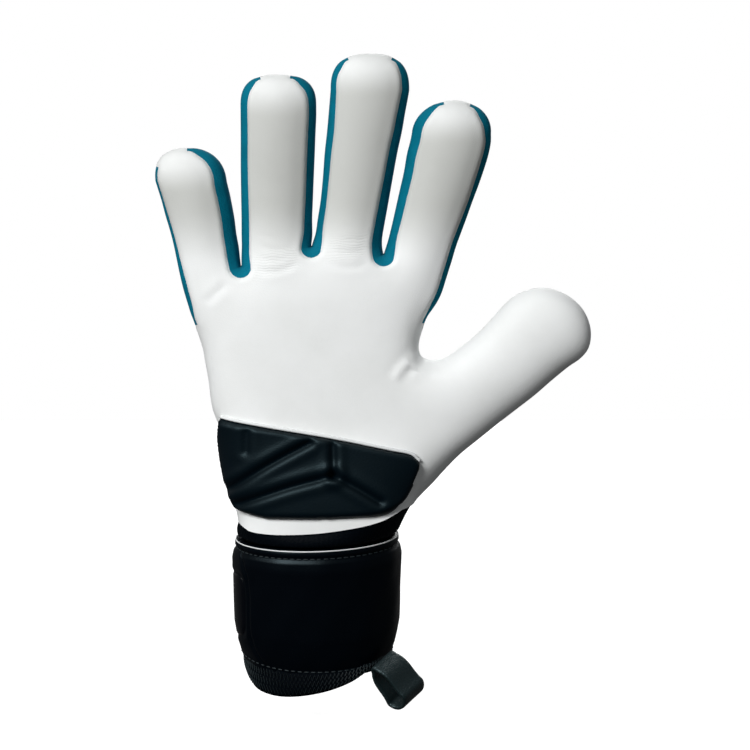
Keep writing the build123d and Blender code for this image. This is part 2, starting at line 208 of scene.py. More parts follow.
# Soft creases: points along each, depth and half width
CREASES = [
    ([(-48.5, 169.5), (-43.0, 175.0), (-37.5, 179.5)], 0.42, 1.6),
    ([(-29.0, 186.5), (-24.0, 184.2), (-18.0, 184.0), (-12.0, 185.8), (-7.0, 188.6)], 0.4, 1.2),
    ([(-27.5, 190.3), (-19.0, 188.6), (-12.0, 189.8)], 0.2, 0.8),
    ([(-25.5, 195.0), (-17.0, 193.2), (-10.0, 194.6)], 0.2, 0.8),
    ([(-26.0, 199.6), (-18.0, 198.4)], 0.14, 0.7),
    ([(3.0, 188.5), (10.0, 186.0), (17.0, 185.8), (22.0, 187.4)], 0.3, 1.2),
    ([(4.5, 194.0), (12.0, 192.0), (20.0, 193.0)], 0.2, 0.8),
    ([(6.5, 199.2), (14.0, 197.4), (21.0, 198.2)], 0.18, 0.8),
    ([(9.5, 204.0), (16.0, 202.8)], 0.14, 0.7),
    ([(45.5, 149.8), (41.0, 146.9), (36.0, 142.6), (32.0, 136.2)], -0.6, 1.6),
    ([(47.5, 146.6), (42.8, 143.8), (37.6, 140.6)], 0.55, 1.25),
]
# Beside a crease the latex swells: part of its depth, and place and width as parts of its half width
CREASE_SWELL, CREASE_SWELL_AT, CREASE_SWELL_WIDTH = 0.35, 2.3, 1.2
# A crease fades out over this part of its length at each end, and this near to the hand's edge
CREASE_ENDS, CREASE_FADE, CREASE_STEP = 0.25, 4.0, 1.5


def along(path):
    """How far along a path each of its points lies."""
    return np.concatenate([[0], np.cumsum(np.linalg.norm(np.diff(path, axis=0), axis=1))])


def grown(points, step):
    """Points at even steps along a smooth curve through the given points."""
    p = np.asarray(points, float)
    if len(p) == 2:
        count = max(1, round(float(np.linalg.norm(p[1] - p[0])) / step))
        return p[0] + (p[1] - p[0]) * np.linspace(0, 1, count + 1)[:, None]
    ends = np.vstack([2 * p[0] - p[1], p, 2 * p[-1] - p[-2]])
    fine = []
    for a, b, c, d in zip(ends[:-3], ends[1:-2], ends[2:-1], ends[3:]):
        k = [0.0]
        for u, v in ((a, b), (b, c), (c, d)):
            k.append(k[-1] + max(float(np.linalg.norm(v - u)), 1e-6) ** 0.5)
        t = np.linspace(k[1], k[2], 24, endpoint=False)[:, None]
        ab = a + (b - a) * (t - k[0]) / (k[1] - k[0])
        bc = b + (c - b) * (t - k[1]) / (k[2] - k[1])
        cd = c + (d - c) * (t - k[2]) / (k[3] - k[2])
        abc = ab + (bc - ab) * (t - k[0]) / (k[2] - k[0])
        bcd = bc + (cd - bc) * (t - k[1]) / (k[3] - k[1])
        fine.append(abc + (bcd - abc) * (t - k[1]) / (k[2] - k[1]))
    fine = np.vstack([*fine, p[-1:]])
    return evened(fine, step)


def evened(fine, step):
    """A path's points again, at even steps."""
    run = along(fine)
    at = np.linspace(0, run[-1], max(2, round(run[-1] / step) + 1))
    return np.column_stack([np.interp(at, run, fine[:, i]) for i in range(fine.shape[1])])


def softened(values, rounds):
    """Values along a path, each averaged with its neighbours; the two ends stay."""
    for _ in range(rounds):
        values[1:-1] = values[:-2] / 4 + values[1:-1] / 2 + values[2:] / 4
    return values


def smooth_step(t):
    """Eases from 0 to 1, and stays there."""
    t = np.clip(t, 0.0, 1.0)
    return t * t * (3 - 2 * t)


def finger_tip(name):
    """The rounded end of one finger, from its left edge over the top to its right edge."""
    start, left, right, top, square, lean = FINGER_TIPS[name]
    t = np.linspace(math.pi, 0, 181)
    x = np.sign(np.cos(t)) * np.abs(np.cos(t)) ** (2 / square) * (right - left) / 2 + (left + right) / 2
    z = np.abs(np.sin(t)) ** (2 / square) * (top - start)
    return evened(np.column_stack([x + lean * z, z + start]), TIP_STEP)


def gap_side(name, side):
    """One side of a gap between fingers, as (x, height) from the top down."""
    return [(x + side * half, height) for height, x, half in FINGER_GAPS[name]]


def gap_foot(name):
    """The round foot of a gap between fingers."""
    height, x, half = FINGER_GAPS[name][-1]
    turn = np.linspace(math.pi, 2 * math.pi, 11)
    return np.column_stack([x + half * np.cos(turn), height + half * np.sin(turn)])


def hand_outline():
    """The outline from the wrist up over all the digits and back to the wrist."""
    runs, last = [], len(FINGERS) - 1
    for i, name in enumerate(FINGERS):
        left, right = FINGER_EDGES[name]
        start, low, high, *_ = FINGER_TIPS[name]
        left = [(x, z) for z, x in left] + [(low, start)]
        right = [(high, start)] + [(x, z) for z, x in right]
        before = PALM_OUTER_SIDE if i == 0 else gap_side(GAPS[i - 1], 1)[::-1]
        after = PALM_THUMB_SIDE + THUMB_OUTLINE if i == last else gap_side(GAPS[i], -1)
        runs += [grown(before + left, OUTLINE_STEP), finger_tip(name), grown(right + after, OUTLINE_STEP)]
        if i < last:
            runs.append(gap_foot(GAPS[i]))
    return np.vstack([runs[0], *(run[1:] for run in runs[1:])])


def inward(path):
    """Directions into the hand at each point of the outline, eased along it."""
    ahead = np.vstack([path[1:], path[-1:]]) - np.vstack([path[:1], path[:-1]])
    normal = np.column_stack([ahead[:, 1], -ahead[:, 0]])
    normal /= np.linalg.norm(normal, axis=1)[:, None]
    foot = np.array(PALM_FOOT)
    normal[0] = (foot[1] - foot[0]) / np.linalg.norm(foot[1] - foot[0])
    normal[-1] = (foot[-2] - foot[-1]) / np.linalg.norm(foot[-2] - foot[-1])
    for _ in range(6):
        normal = softened(normal, 1)
        normal /= np.linalg.norm(normal, axis=1)[:, None]
    return normal


def seam_widths(path):
    """For each outline point: gusset width in front and behind, and whether the side is gusset."""
    run = along(path)
    at, widths, last = [], [], 0
    for x, z, width in GUSSET_SHOWS:
        far = np.hypot(path[:, 0] - x, path[:, 1] - z) + GUSSET_NEARER * (run - run[last])
        far[:last] = np.inf
        far[run > run[last] + (GUSSET_SEARCH if at else GUSSET_SEARCH_FIRST)] = np.inf
        last = int(np.argmin(far))
        at.append(run[last])
        widths.append(width)
    at, widths = np.array(at), np.array(widths)
    front = softened(np.interp(run, at, widths, left=0.0, right=0.0), 2)
    ends = at[widths == 0.0]
    inside = np.zeros(len(run), bool)
    for a, b in zip(ends[::2], ends[1::2]):
        inside |= (run >= a - 1e-6) & (run <= b + 1e-6)
    nearest = np.min(np.abs(run[:, None] - ends[None, :]), axis=1)
    gusset = GUSSET_BACK * smooth_step(nearest / GUSSET_BACK_EASE)
    wrap = WRAP_BACK * smooth_step((nearest - WRAP_BACK_FROM) / WRAP_BACK_EASE)
    behind = np.where(inside, gusset, wrap)
    return np.maximum(front, LEAST_SEAM), np.maximum(behind, LEAST_SEAM), inside


def in_loop(points, loop):
    """Which points lie inside a closed loop."""
    inside = np.zeros(len(points), bool)
    x, z = points[:, 0], points[:, 1]
    for (x1, z1), (x2, z2) in zip(loop, np.roll(loop, -1, axis=0)):
        if z1 != z2:
            inside ^= ((z1 > z) != (z2 > z)) & (x < (x2 - x1) * (z - z1) / (z2 - z1) + x1)
    return inside


def nearest_way(points, loop):
    """Distance of each point to the corners of a path."""
    out = np.empty(len(points))
    for i in range(0, len(points), 2000):
        block = points[i:i + 2000]
        out[i:i + 2000] = np.sqrt(((block[:, None, :] - loop[None, :, :]) ** 2).sum(2)).min(1)
    return out


def from_path(points, path):
    """Distance of each point to a path's lines, and how far along the path it lies, 0 to 1."""
    best, where = np.full(len(points), 1e9), np.zeros(len(points))
    run = along(path)
    for i, (a, b) in enumerate(zip(path[:-1], path[1:])):
        ab = b - a
        t = np.clip(((points - a) @ ab) / max(float(ab @ ab), 1e-12), 0, 1)
        far = np.linalg.norm(points - a - t[:, None] * ab, axis=1)
        closer = far < best
        best[closer] = far[closer]
        where[closer] = (run[i] + t[closer] * (run[i + 1] - run[i])) / run[-1]
    return best, where


def filled(loop, step):
    """Triangles that fill a closed loop, with points at an even spacing inside it."""
    low, high = loop.min(0), loop.max(0)
    rows = []
    for i, z in enumerate(np.arange(low[1], high[1], step * FILL_ROW)):
        across = np.arange(low[0] + (i % 2) * step / 2, high[0], step)
        rows.append(np.column_stack([across, np.full(len(across), z)]))
    points = np.vstack(rows)
    points = points[in_loop(points, loop)]
    points = points[nearest_way(points, loop) > FILL_EDGE * step]
    count = len(loop)
    edges = [(i, (i + 1) % count) for i in range(count)]
    found = delaunay_2d_cdt([Vector(p) for p in np.vstack([loop, points])], edges, [], 1, 1e-5, True)
    verts = np.array([tuple(v) for v in found[0]])
    tris = np.array([list(f) for f in found[2] if len(f) == 3], int)
    own = np.array([ids[0] if ids else -1 for ids in found[3]], int)
    a, b, c = verts[tris[:, 0]], verts[tris[:, 1]], verts[tris[:, 2]]
    area = (b[:, 0] - a[:, 0]) * (c[:, 1] - a[:, 1]) - (b[:, 1] - a[:, 1]) * (c[:, 0] - a[:, 0])
    tris[area < 0] = tris[area < 0][:, ::-1]
    return verts, tris[in_loop((a + b + c) / 3, loop)], own


def swell(points, tris, held):
    """The height of a skin that is held at its edge and pushed out evenly."""
    a, b, c = points[tris[:, 0]], points[tris[:, 1]], points[tris[:, 2]]
    area = (b[:, 0] - a[:, 0]) * (c[:, 1] - a[:, 1]) - (b[:, 1] - a[:, 1]) * (c[:, 0] - a[:, 0])
    area = np.maximum(np.abs(area) / 2, 1e-7)
    rows, cols, pull = [], [], []
    for i, j, k in ((0, 1, 2), (1, 2, 0), (2, 0, 1)):
        u = points[tris[:, i]] - points[tris[:, k]]
        v = points[tris[:, j]] - points[tris[:, k]]
        rows.append(tris[:, i])
        cols.append(tris[:, j])
        pull.append((u * v).sum(1) / (4 * area))
    rows, cols, pull = np.concatenate(rows), np.concatenate(cols), np.concatenate(pull)
    count = len(points)
    mass = np.zeros(count)
    for i in range(3):
        mass += np.bincount(tris[:, i], area / 3, count)
    stiff = np.bincount(rows, pull, count) + np.bincount(cols, pull, count)
    whole = stiff + PUFF_SPREAD ** 2 * mass
    free = ~held

    def times(x):
        """The pull on each point's height, which is zero where the skin is held."""
        y = whole * x - np.bincount(rows, pull * x[cols], count) - np.bincount(cols, pull * x[rows], count)
        return np.where(free, y, 0.0)

    x = np.zeros(count)
    left = np.where(free, mass, 0.0)
    ease = 1 / np.maximum(whole, 1e-9)
    way = ease * left
    size = float(left @ way)
    stop = size * PUFF_EXACT
    for _ in range(PUFF_ROUNDS):
        out = times(way)
        step = size / float(way @ out)
        x += step * way
        left -= step * out
        eased = ease * left
        new = float(left @ eased)
        if new < stop:
            break
        way = eased + new / size * way
        size = new
    return np.maximum(x, 0.0)


def beside_thumb(x, z):
    """How far along the thumb a place lies, and how far to the side of its middle line."""
    dx, dz = x - THUMB_BASE[0], z - THUMB_BASE[1]
    return dx * THUMB_ALONG[0] + dz * THUMB_ALONG[1], -dx * THUMB_ALONG[1] + dz * THUMB_ALONG[0]


def middle_surface(points):
    """How far forward the hand's middle surface lies at each point, in millimetres."""
    x, z = points[:, 0], points[:, 1]
    above = np.maximum(0, z - FINGER_BEND_FROM)
    eased = above - FINGER_BEND_EASE * (1 - np.exp(-above / FINGER_BEND_EASE))
    fingers = -FINGER_TILT * eased - FINGER_BEND * above ** 2
    way, aside = beside_thumb(x, z)
    forward = THUMB_FORWARD * smooth_step((way + THUMB_FORWARD_EASE) / THUMB_FORWARD_EASE)
    thumb = -forward - THUMB_BEND * np.maximum(0, way) ** 2
    return fingers + thumb * smooth_step((THUMB_BEND_ASIDE - aside) / THUMB_BEND_FADE)


def half_of_hand(outline, normal, widths, step):
    """One side of the hand, laid flat: a rim that follows the seam, and its filling."""
    reach = softened(np.maximum(RIM_LEAST, widths + RIM_EXTRA), 4)
    ways = []
    for row in range(RIM_ROWS):
        if row <= SEAM_ROWS:
            ways.append(widths * (row / SEAM_ROWS) ** SEAM_POWER)
        else:
            past = ((row - SEAM_ROWS) / (RIM_ROWS - 1 - SEAM_ROWS)) ** RIM_POWER
            ways.append(widths + (reach - widths) * past)
    rim = [outline + normal * way[:, None] for way in ways]
    foot = grown(PALM_FOOT, PALM_FOOT_STEP)
    start = nearest_way(foot, rim[-1][:1]).argmin()
    end = nearest_way(foot, rim[-1][-1:]).argmin()
    verts, tris, own = filled(np.vstack([rim[-1], foot[start + 1:end][::-1]]), step)
    columns = len(outline)
    number = np.empty(len(verts), int)
    extra, count = [], columns * RIM_ROWS
    for i, k in enumerate(own):
        if 0 <= k < columns:
            number[i] = (RIM_ROWS - 1) * columns + k
        else:
            number[i] = count
            extra.append(verts[i])
            count += 1
    column, row = np.meshgrid(np.arange(columns - 1), np.arange(RIM_ROWS - 1), indexing="ij")
    column, row = column.ravel(), row.ravel()
    corner, above = row * columns + column, (row + 1) * columns + column
    return {
        "points": np.vstack([*rim, np.array(extra)]),
        "ways": np.concatenate([*ways, np.full(len(extra), np.inf)]),
        "quads": np.column_stack([corner, above, above + 1, corner + 1]),
        "tris": number[tris],
        "row": row,
        "column": column,
    }


def crease_depth(points):
    """How deep the soft creases press into the palm at each point."""
    deep = np.zeros(len(points))
    for path, depth, width in CREASES:
        far, where = from_path(points, grown(path, CREASE_STEP))
        fade = smooth_step(where / CREASE_ENDS) * smooth_step((1 - where) / CREASE_ENDS)
        swell_far = (far - CREASE_SWELL_AT * width) / (CREASE_SWELL_WIDTH * width)
        deep += depth * fade * np.exp(-(far / width) ** 2)
        deep -= CREASE_SWELL * depth * fade * np.exp(-swell_far ** 2)
    return deep


def vertex_normals(verts, faces):
    """Normals at the corners of a mesh of triangles and quads, larger faces counting more."""
    normal = np.zeros_like(verts)
    for size in (3, 4):
        block = np.array([f for f in faces if len(f) == size], int)
        first, second = ((0, 1), (0, 2)) if size == 3 else ((0, 2), (1, 3))
        one = verts[block[:, first[1]]] - verts[block[:, first[0]]]
        other = verts[block[:, second[1]]] - verts[block[:, second[0]]]
        cross = np.cross(one, other)
        for i in range(size):
            for axis in range(3):
                normal[:, axis] += np.bincount(block[:, i], cross[:, axis], len(verts))
    return normal / np.maximum(np.linalg.norm(normal, axis=1), 1e-12)[:, None]


def body_of(x, z):
    """The body that carries a place on the hand: the hand itself, or a digit's lower or upper length."""
    way, aside = beside_thumb(x, z)
    if way > FOLDS["thumb"][0] and aside < THUMB_ASIDE and z < THUMB_BELOW:
        name = "thumb"
    else:
        side = 0
        for gap in GAPS:
            rows = sorted([(height, middle) for height, middle, _ in FINGER_GAPS[gap]] + GAP_LINES_ABOVE[gap])
            side += x > np.interp(z, [height for height, _ in rows], [middle for _, middle in rows])
        name, way = FINGERS[side], z
        if z <= FOLDS[name][0]:
            return "hand"
    return name + ("_upper" if way > FOLDS[name][2] else "_lower")


def free_sides(faces):
    """The sides that only one face has, in the order of the faces."""
    sides = dict.fromkeys((a, b) for face in faces for a, b in zip(face, face[1:] + face[:1]))
    return [(a, b) for a, b in sides if (b, a) not in sides]


# The hand's surface, which the operators share: the first fills it, and the pads and the cuff lie on it
HAND = {}


def foot_ring(angle):
    """The hand's free edge at the wrist, at an angle in radians: how far out it is, and its height."""
    if "ring" not in HAND:
        free = sorted({a for a, _ in free_sides(HAND["faces"])})
        x, y, z = HAND["verts"][free].T
        turn = np.arctan2(y, x)
        order = np.argsort(turn)
        HAND["ring"] = turn[order], np.hypot(x, y)[order], z[order]
    turn, far, height = HAND["ring"]
    return [float(np.interp(angle, turn, values, period=2 * math.pi)) for values in (far, height)]


def swollen(half, columns, puff, side):
    """One side of the hand in space: swollen to the palm side (-1) or the back (1)."""
    flat, quads = half["points"], half["quads"]
    parts = np.vstack([quads[:, [0, 1, 2]], quads[:, [0, 2, 3]], half["tris"]])
    rise = np.sqrt(swell(flat, parts, np.arange(len(flat)) < columns))
    wrist = smooth_step((WRIST_GROWTH_FROM - flat[:, 1]) / (WRIST_GROWTH_FROM - WRIST_GROWTH_TO))
    y = middle_surface(flat) + side * puff * (1 + WRIST_GROWTH * wrist) * rise
    return np.column_stack([flat[:, 0], y, flat[:, 1]])


def seam_relief(half, widths, sewn):
    """How far one side's rim stands out: a valley along the seam and a soft ridge beside it."""
    inner = len(half["points"]) - len(widths) * RIM_ROWS
    beside = half["ways"] - np.concatenate([np.tile(widths, RIM_ROWS), np.zeros(inner)])
    valley = SEAM_VALLEY[0] * np.exp(-(beside / SEAM_VALLEY[1]) ** 2)
    ridge = SEAM_RIDGE[0] * np.exp(-((beside - SEAM_RIDGE[1]) / SEAM_RIDGE[2]) ** 2)
    return np.where(np.concatenate([np.tile(sewn, RIM_ROWS), np.zeros(inner, bool)]), ridge - valley, 0.0)


def sewn_faces(front, back, move, gusset):
    """The faces of both sides as one surface, and the cloth of each; move renumbers the back's points."""
    faces, cloths = [], []
    for half, panel in ((front, "latex"), (back, "back")):
        for kind in ("quads", "tris"):
            block = half[kind] if half is front else move[half[kind]][:, ::-1]
            for n, face in enumerate(block):
                cloth = panel
                if kind == "quads" and half["row"][n] < SEAM_ROWS:
                    column = half["column"][n]
                    cloth = "gusset" if gusset[column] and gusset[column + 1] else "latex"
                faces.append(tuple(int(v) for v in face))
                cloths.append(cloth)
    return faces, np.array(cloths)


def make_hand_surface():
    """Fills HAND with the whole outer surface of the hand, and each face's body and cloth."""
    outline = hand_outline()
    normal, columns = inward(outline), len(outline)
    front_widths, back_widths, gusset = seam_widths(outline)
    front = half_of_hand(outline, normal, front_widths, FRONT_STEP)
    back = half_of_hand(outline, normal, back_widths, BACK_STEP)
    count = len(front["points"])
    move = np.concatenate([np.arange(columns), np.arange(len(back["points"]) - columns) + count])
    faces, cloths = sewn_faces(front, back, move, gusset)
    front_skin, back_skin = swollen(front, columns, PUFF_FRONT, -1), swollen(back, columns, PUFF_BACK, 1)
    verts = np.vstack([front_skin, back_skin[columns:]])
    relief = seam_relief(front, front_widths, gusset)
    relief -= crease_depth(front["points"]) * smooth_step(front["ways"] / CREASE_FADE)
    behind = seam_relief(back, back_widths, np.ones(columns, bool))[columns:]
    verts = verts + vertex_normals(verts, faces) * np.concatenate([relief, behind])[:, None]
    centres = np.array([verts[list(f)].mean(0) for f in faces])
    HAND.update(
        verts=verts, faces=faces, normals=vertex_normals(verts, faces), cloths=cloths, centres=centres,
        bodies=np.array([body_of(x, z) for x, _, z in centres]),
        tree=BVHTree.FromPolygons([Vector(v) for v in verts], [list(f) for f in faces]),
    )


# ---------------------------------------------------------------------------
# Pads, cuff, strap and tab, in millimetres
# ---------------------------------------------------------------------------

HEEL_PAD = [
    (-41.3, 120.9), (-38.9, 120.3), (-22.4, 117.4), (6.5, 112.6), (31.4, 107.5), (40.4, 105.4), (43.4, 102.4),
    (42.4, 98.6), (35.2, 85.2), (30.2, 81.2), (15.0, 79.4), (-15.0, 78.8), (-23.0, 79.0), (-33.2, 82.3),
    (-35.7, 87.0), (-37.7, 92.4), (-39.5, 99.0), (-40.6, 106.0), (-41.3, 113.0),
]
HEEL_PAD_THICK = 4.2
# Quilting grooves: points along each, and its depth
HEEL_PAD_QUILTING = [
    ([(6.9, 97.0), (-12.0, 92.0), (-31.0, 85.2)], 2.0), ([(6.9, 97.0), (18.0, 91.0), (26.0, 86.0)], 1.8),
    ([(6.9, 97.0), (6.5, 110.5)], 1.7), ([(-3.2, 111.0), (-20.0, 101.6), (-34.8, 91.8)], 2.1),
    ([(-29.2, 116.0), (-29.2, 107.0)], 1.1),
]
# How many of the pad's corners make its top edge, which has the piping
HEEL_PAD_TOP_EDGE = 7
HEEL_PAD_ROUNDING, HEEL_PAD_STEP = 2.6, 0.95
PIPING_OUT, PIPING_UP, PIPING_RADIUS, PIPING_STEP = 0.9, 0.75, 0.7, 0.9
# How many sides every piping's and every thread's round section has
PIPING_SIDES, THREAD_SIDES = 8, 5
BACK_PAD = [
    (-36.0, 162.0), (-30.0, 168.0), (0.0, 170.0), (28.0, 171.0), (33.0, 165.0), (29.0, 140.0), (24.5, 122.0),
    (19.0, 118.0), (-2.0, 117.5), (-23.0, 118.0), (-28.5, 123.0), (-33.0, 142.0),
]
BACK_PAD_THICK = 2.8
BACK_PAD_QUILTING = [
    ([(-28.0, 152.0), (0.0, 146.0), (28.0, 153.0)], 1.0),
    ([(-26.0, 137.0), (0.0, 131.0), (25.0, 138.0)], 1.0),
]
BACK_PAD_ROUNDING, BACK_PAD_STEP = 2.4, 1.3
# Every pad: thickness at its edge, least thickness, how deep it is sunk, and a groove's half width
PAD_EDGE, PAD_LEAST, PAD_SUNK, GROOVE_HALF = 0.35, 0.25, 0.5, 1.35
# Spacing of points along its outline and its grooves, and how often its normals are evened
PAD_OUTLINE_STEP, GROOVE_STEP, PAD_EVENING = 1.1, 1.0, 3
# Swelling beside a groove: part of its depth, distance and half width
GROOVE_SWELL, GROOVE_SWELL_AT, GROOVE_SWELL_HALF = 0.3, 3.6, 2.0

CUFF_HALF = (31.0, 23.0)
# Wrist elastic: (height above the strap's top edge, offset) under the strap
ELASTIC_UNDER_STRAP = [(-46.0, 0.0), (-30.0, 0.0), (-14.0, 0.0), (-2.0, 0.0), (-0.5, 0.1)]
# Then (part of the way up to the hand's edge, fullness) where it shows
ELASTIC_SHOWN = [
    (0.03, 0.4), (0.09, 0.8), (0.18, 1.0), (0.3, 1.0), (0.42, 1.0), (0.54, 1.0), (0.66, 1.0), (0.78, 1.0),
    (0.88, 1.0), (0.96, 0.95),
]
# Then (height above the hand's edge, distance inside it) where it is tucked in
ELASTIC_TUCKED = [(-0.1, 2.9), (0.7, 3.8), (3.0, 4.2), (6.0, 4.6)]
# Its wall, its ribs' half height, and the columns of each rib
ELASTIC_WALL, ELASTIC_RIB, ELASTIC_RIB_COLUMNS = 1.2, 0.08, 4
# Its lowest row: how far it rises in the middle, and its slope front to back
ELASTIC_LOWEST_RISE, ELASTIC_LOWEST_SLOPE = 1.5, 0.05
# Least gap that shows between strap and hand, and the gap from which the bulge is full
ELASTIC_GAP, ELASTIC_FADE = 0.6, 4.0
# The bulge: how far out it starts, how far inside the hand's edge it ends, and its fullness
ELASTIC_OUT, ELASTIC_EDGE, ELASTIC_BULGE, ELASTIC_BULGE_POWER = 3.2, 0.8, 0.9, 1.8
# Where there is no gap, how far inside the hand's edge it ends
ELASTIC_TUCK = 3.9

# Each edge of the strap: its height, and its slopes front to back and side to side, in degrees
STRAP_TOP = (69.5, 8.0, 1.7)
STRAP_FOOT = (18.0, 18.2, 0.0)
STRAP_OUTER, STRAP_CENTRE = (35.85, 27.0), -0.55
# The strap's inner face: its offset from the cuff's oval, and how far it is lowered
STRAP_INNER, STRAP_INNER_DROP = 0.35, 0.3
# Angles round the wrist, in degrees, from the thumb side: the strap, its closing flap and the tapes
STRAP_SPAN = (150.5, 389.5)
FLAP_SPAN = (148.0, 32.0)
PATCH_SPAN = (138.0, 40.0)
# The strap's face: (distance below its top edge, how far it stands out)
STRAP_SECTION = [
    (0.0, -1.9), (0.5, -1.1), (1.3, -0.6), (2.3, -0.55), (3.0, -0.95), (3.5, -1.35), (4.0, -0.95), (5.2, 0.0),
    (8.0, 0.6), (14.0, 0.35), (26.0, 0.1), (35.0, -0.2), (40.0, -1.1), (43.5, -1.9), (46.4, -2.9),
    (47.4, -3.45), (48.2, -3.5), (50.0, -4.15),
]
STRAP_HEIGHT = STRAP_SECTION[-1][0]
# How deep the strap's ends are rounded off, and over how many degrees
STRAP_END_ROUNDING = (1.6, 3.0)
# A soft ripple in its face: depth, then how fast it waves round the wrist and down the strap
STRAP_RIPPLE, STRAP_WAVES_ROUND, STRAP_WAVES_DOWN = 0.18, (0.21, 0.11), 0.16
# Its columns and rows, then its finer rows and how far they reach down from its top edge
STRAP_COLUMNS, STRAP_ROWS, STRAP_FINE_ROWS, STRAP_FINE = 240, 40, 19, 6.0
STRAP_STITCH_ROWS = (3.5, 47.5)
STITCH_LENGTH, STITCH_EVERY, STITCH_RADIUS, STITCH_OUT = 2.0, 2.9, 0.26, 0.3
# A row of stitches: how far inside the strap's ends its line runs, in degrees, the line's points, and the
# distance from its two ends that is left free
STITCH_INSIDE, STITCH_POINTS, STITCH_FREE = 2.0, 1200, (0.5, 2.2)
STRAP_PIPING_BELOW, STRAP_PIPING_OUT, STRAP_PIPING_RADIUS = 0.55, 0.15, 0.29
# How far inside the strap's ends its piping stops, in degrees, and the piping's points
STRAP_PIPING_INSIDE, STRAP_PIPING_POINTS = 0.6, 260
# Seam beside the badge: (distance below the strap's top edge, angle round the wrist)
STRAP_SEAM = [
    (0.0, 192.0), (3.0, 200.0), (7.0, 208.5), (12.0, 213.5), (20.0, 215.6), (36.0, 215.6), (41.0, 218.0),
    (45.0, 223.5), (49.0, 232.0),
]
STRAP_SEAM_VALLEY = (0.9, 0.9)
STRAP_SEAM_RIDGE = (0.3, 2.4, 1.3)
# The badge, as (depth, height) on the strap's little-finger side
BADGE_MIDDLE, BADGE_HALF, BADGE_CORNER, BADGE_SUNK = (-1.5, 40.2), (13.2, 14.6), 6.0, 0.42
# Its plate: parts of the badge's half sizes, roundness, grid, and the bevel's depth and start
BADGE_PLATE, BADGE_PLATE_ROUND, BADGE_PLATE_GRID = (0.9, 0.91), 0.42, (25, 27)
BADGE_BEVEL, BADGE_BEVEL_FROM, BADGE_PLATE_OUT, BADGE_PLATE_IN = 0.3, 0.93, 0.05, 0.3
# How its edge is eased (from, over), and the low rim beside it (height, distance, half width)
BADGE_EASE, BADGE_RIM = (0.5, 1.2), (0.12, 1.3, 0.9)
# It lies only where X is below the first of these, and its height on the strap is taken at the second
BADGE_SIDE, BADGE_X = -8.0, -34.0
# The closing flap's rows: (distance below the strap's top edge, how far it stands out)
FLAP_ROWS = [
    (STRAP_HEIGHT - 1.0, 1.2), (STRAP_HEIGHT - 1.6, 4.2), (STRAP_HEIGHT - 3.0, 5.1),
    (STRAP_HEIGHT - 10.0, 5.5),
    (25.0, 5.7), (10.0, 5.5), (4.0, 5.1), (2.2, 4.2), (1.4, 2.6),
]
# Its inner face, the least offset of its outer one, how its ends are rounded off, and its columns
FLAP_UNDER, FLAP_LEAST, FLAP_END_ROUNDING, FLAP_COLUMNS = 2.3, 2.45, (1.7, 3.5), 110
# The tapes' rows below the strap's top edge, and (name, what it stands for, inner and outer offset, body)
TAPE_ROWS = [STRAP_HEIGHT - 8.0, STRAP_HEIGHT - 8.6, STRAP_HEIGHT - 20.0, 26.0, 14.0, 8.6, 8.0]
TAPE_ROUNDING, TAPE_COLUMNS = 0.35, 70
TAPES = (
    ("hook_tape", "hook_patch", 1.25, 2.25, "strap_end"),
    ("loop_tape", "loop_patch", 0.05, 0.95, "hand"),
)
# Hem: (angle round the wrist, height of its lower edge)
HEM_FOOT = [
    (0, 16.0), (60, 13.0), (90, 12.0), (140, 12.5), (180, 12.6), (195, 8.6), (209, 4.6), (230, 2.2),
    (249, 2.0), (275, 4.2), (298, 8.2), (314, 12.2), (335, 14.2), (360, 16.0),
]
HEM_OFFSETS = (0.5, 0.7, 0.8, 0.9, 1.0, 1.0, 0.95, 0.75, 0.3, -0.5)
# Hem: its wall, how far it laps over the strap's lower edge, least height, steps and columns
HEM_WALL, HEM_LAP, HEM_LEAST, HEM_STEP, HEM_COLUMNS = 1.5, 3.5, 6.0, 2.0, 220
# Zigzag stitching: the rows of the hem between which each line runs, then its first angle, its span in
# degrees, its points and how far it stands out
ZIGZAG_ROWS = ((8.2, 6.2), (5.9, 3.9), (3.6, 1.6))
ZIGZAG_FROM, ZIGZAG_SPAN, ZIGZAG_POINTS, ZIGZAG_OUT = 176.0, 150.0, 96, 0.15
# The pull tab: its root and how it is turned, in degrees, then its width, the webbing's thickness, its
# length, the half thickness of its root and of its far end, and how far its sides bow out
TAB_FOOT, TAB_LEAN, TAB_TURN = (27.0, -20.0, 18.4), 144.0, -46.0
TAB_WIDTH, TAB_TAPE, TAB_LENGTH, TAB_ROOT, TAB_END, TAB_BOW = 15.2, 1.5, 22.0, 2.0, 6.2, 1.6
# Its webbing: step along the loop, where it starts, how far its flat face and its edge's round are inside
TAB_STEP, TAB_START, TAB_FLAT, TAB_EDGE, TAB_EDGE_THICK = 0.62, 0.3, 0.9, 0.25, 0.8
# Points of its root's round, of its far end's round, and across its flat face
TAB_ROOT_POINTS, TAB_END_POINTS, TAB_FACE_POINTS = 14, 34, 9
# The tab's sewn-in tail: its angles, wall, columns, and (height above the strap's lower edge, offset)
TAIL_SPAN, TAIL_WALL, TAIL_COLUMNS = (-48.0, -20.0), 0.8, 24
TAIL_ROWS = [(-0.5, 0.25), (0.0, 0.4), (1.5, 0.6), (4.0, 1.2), (6.5, 1.5), (7.0, 1.1)]


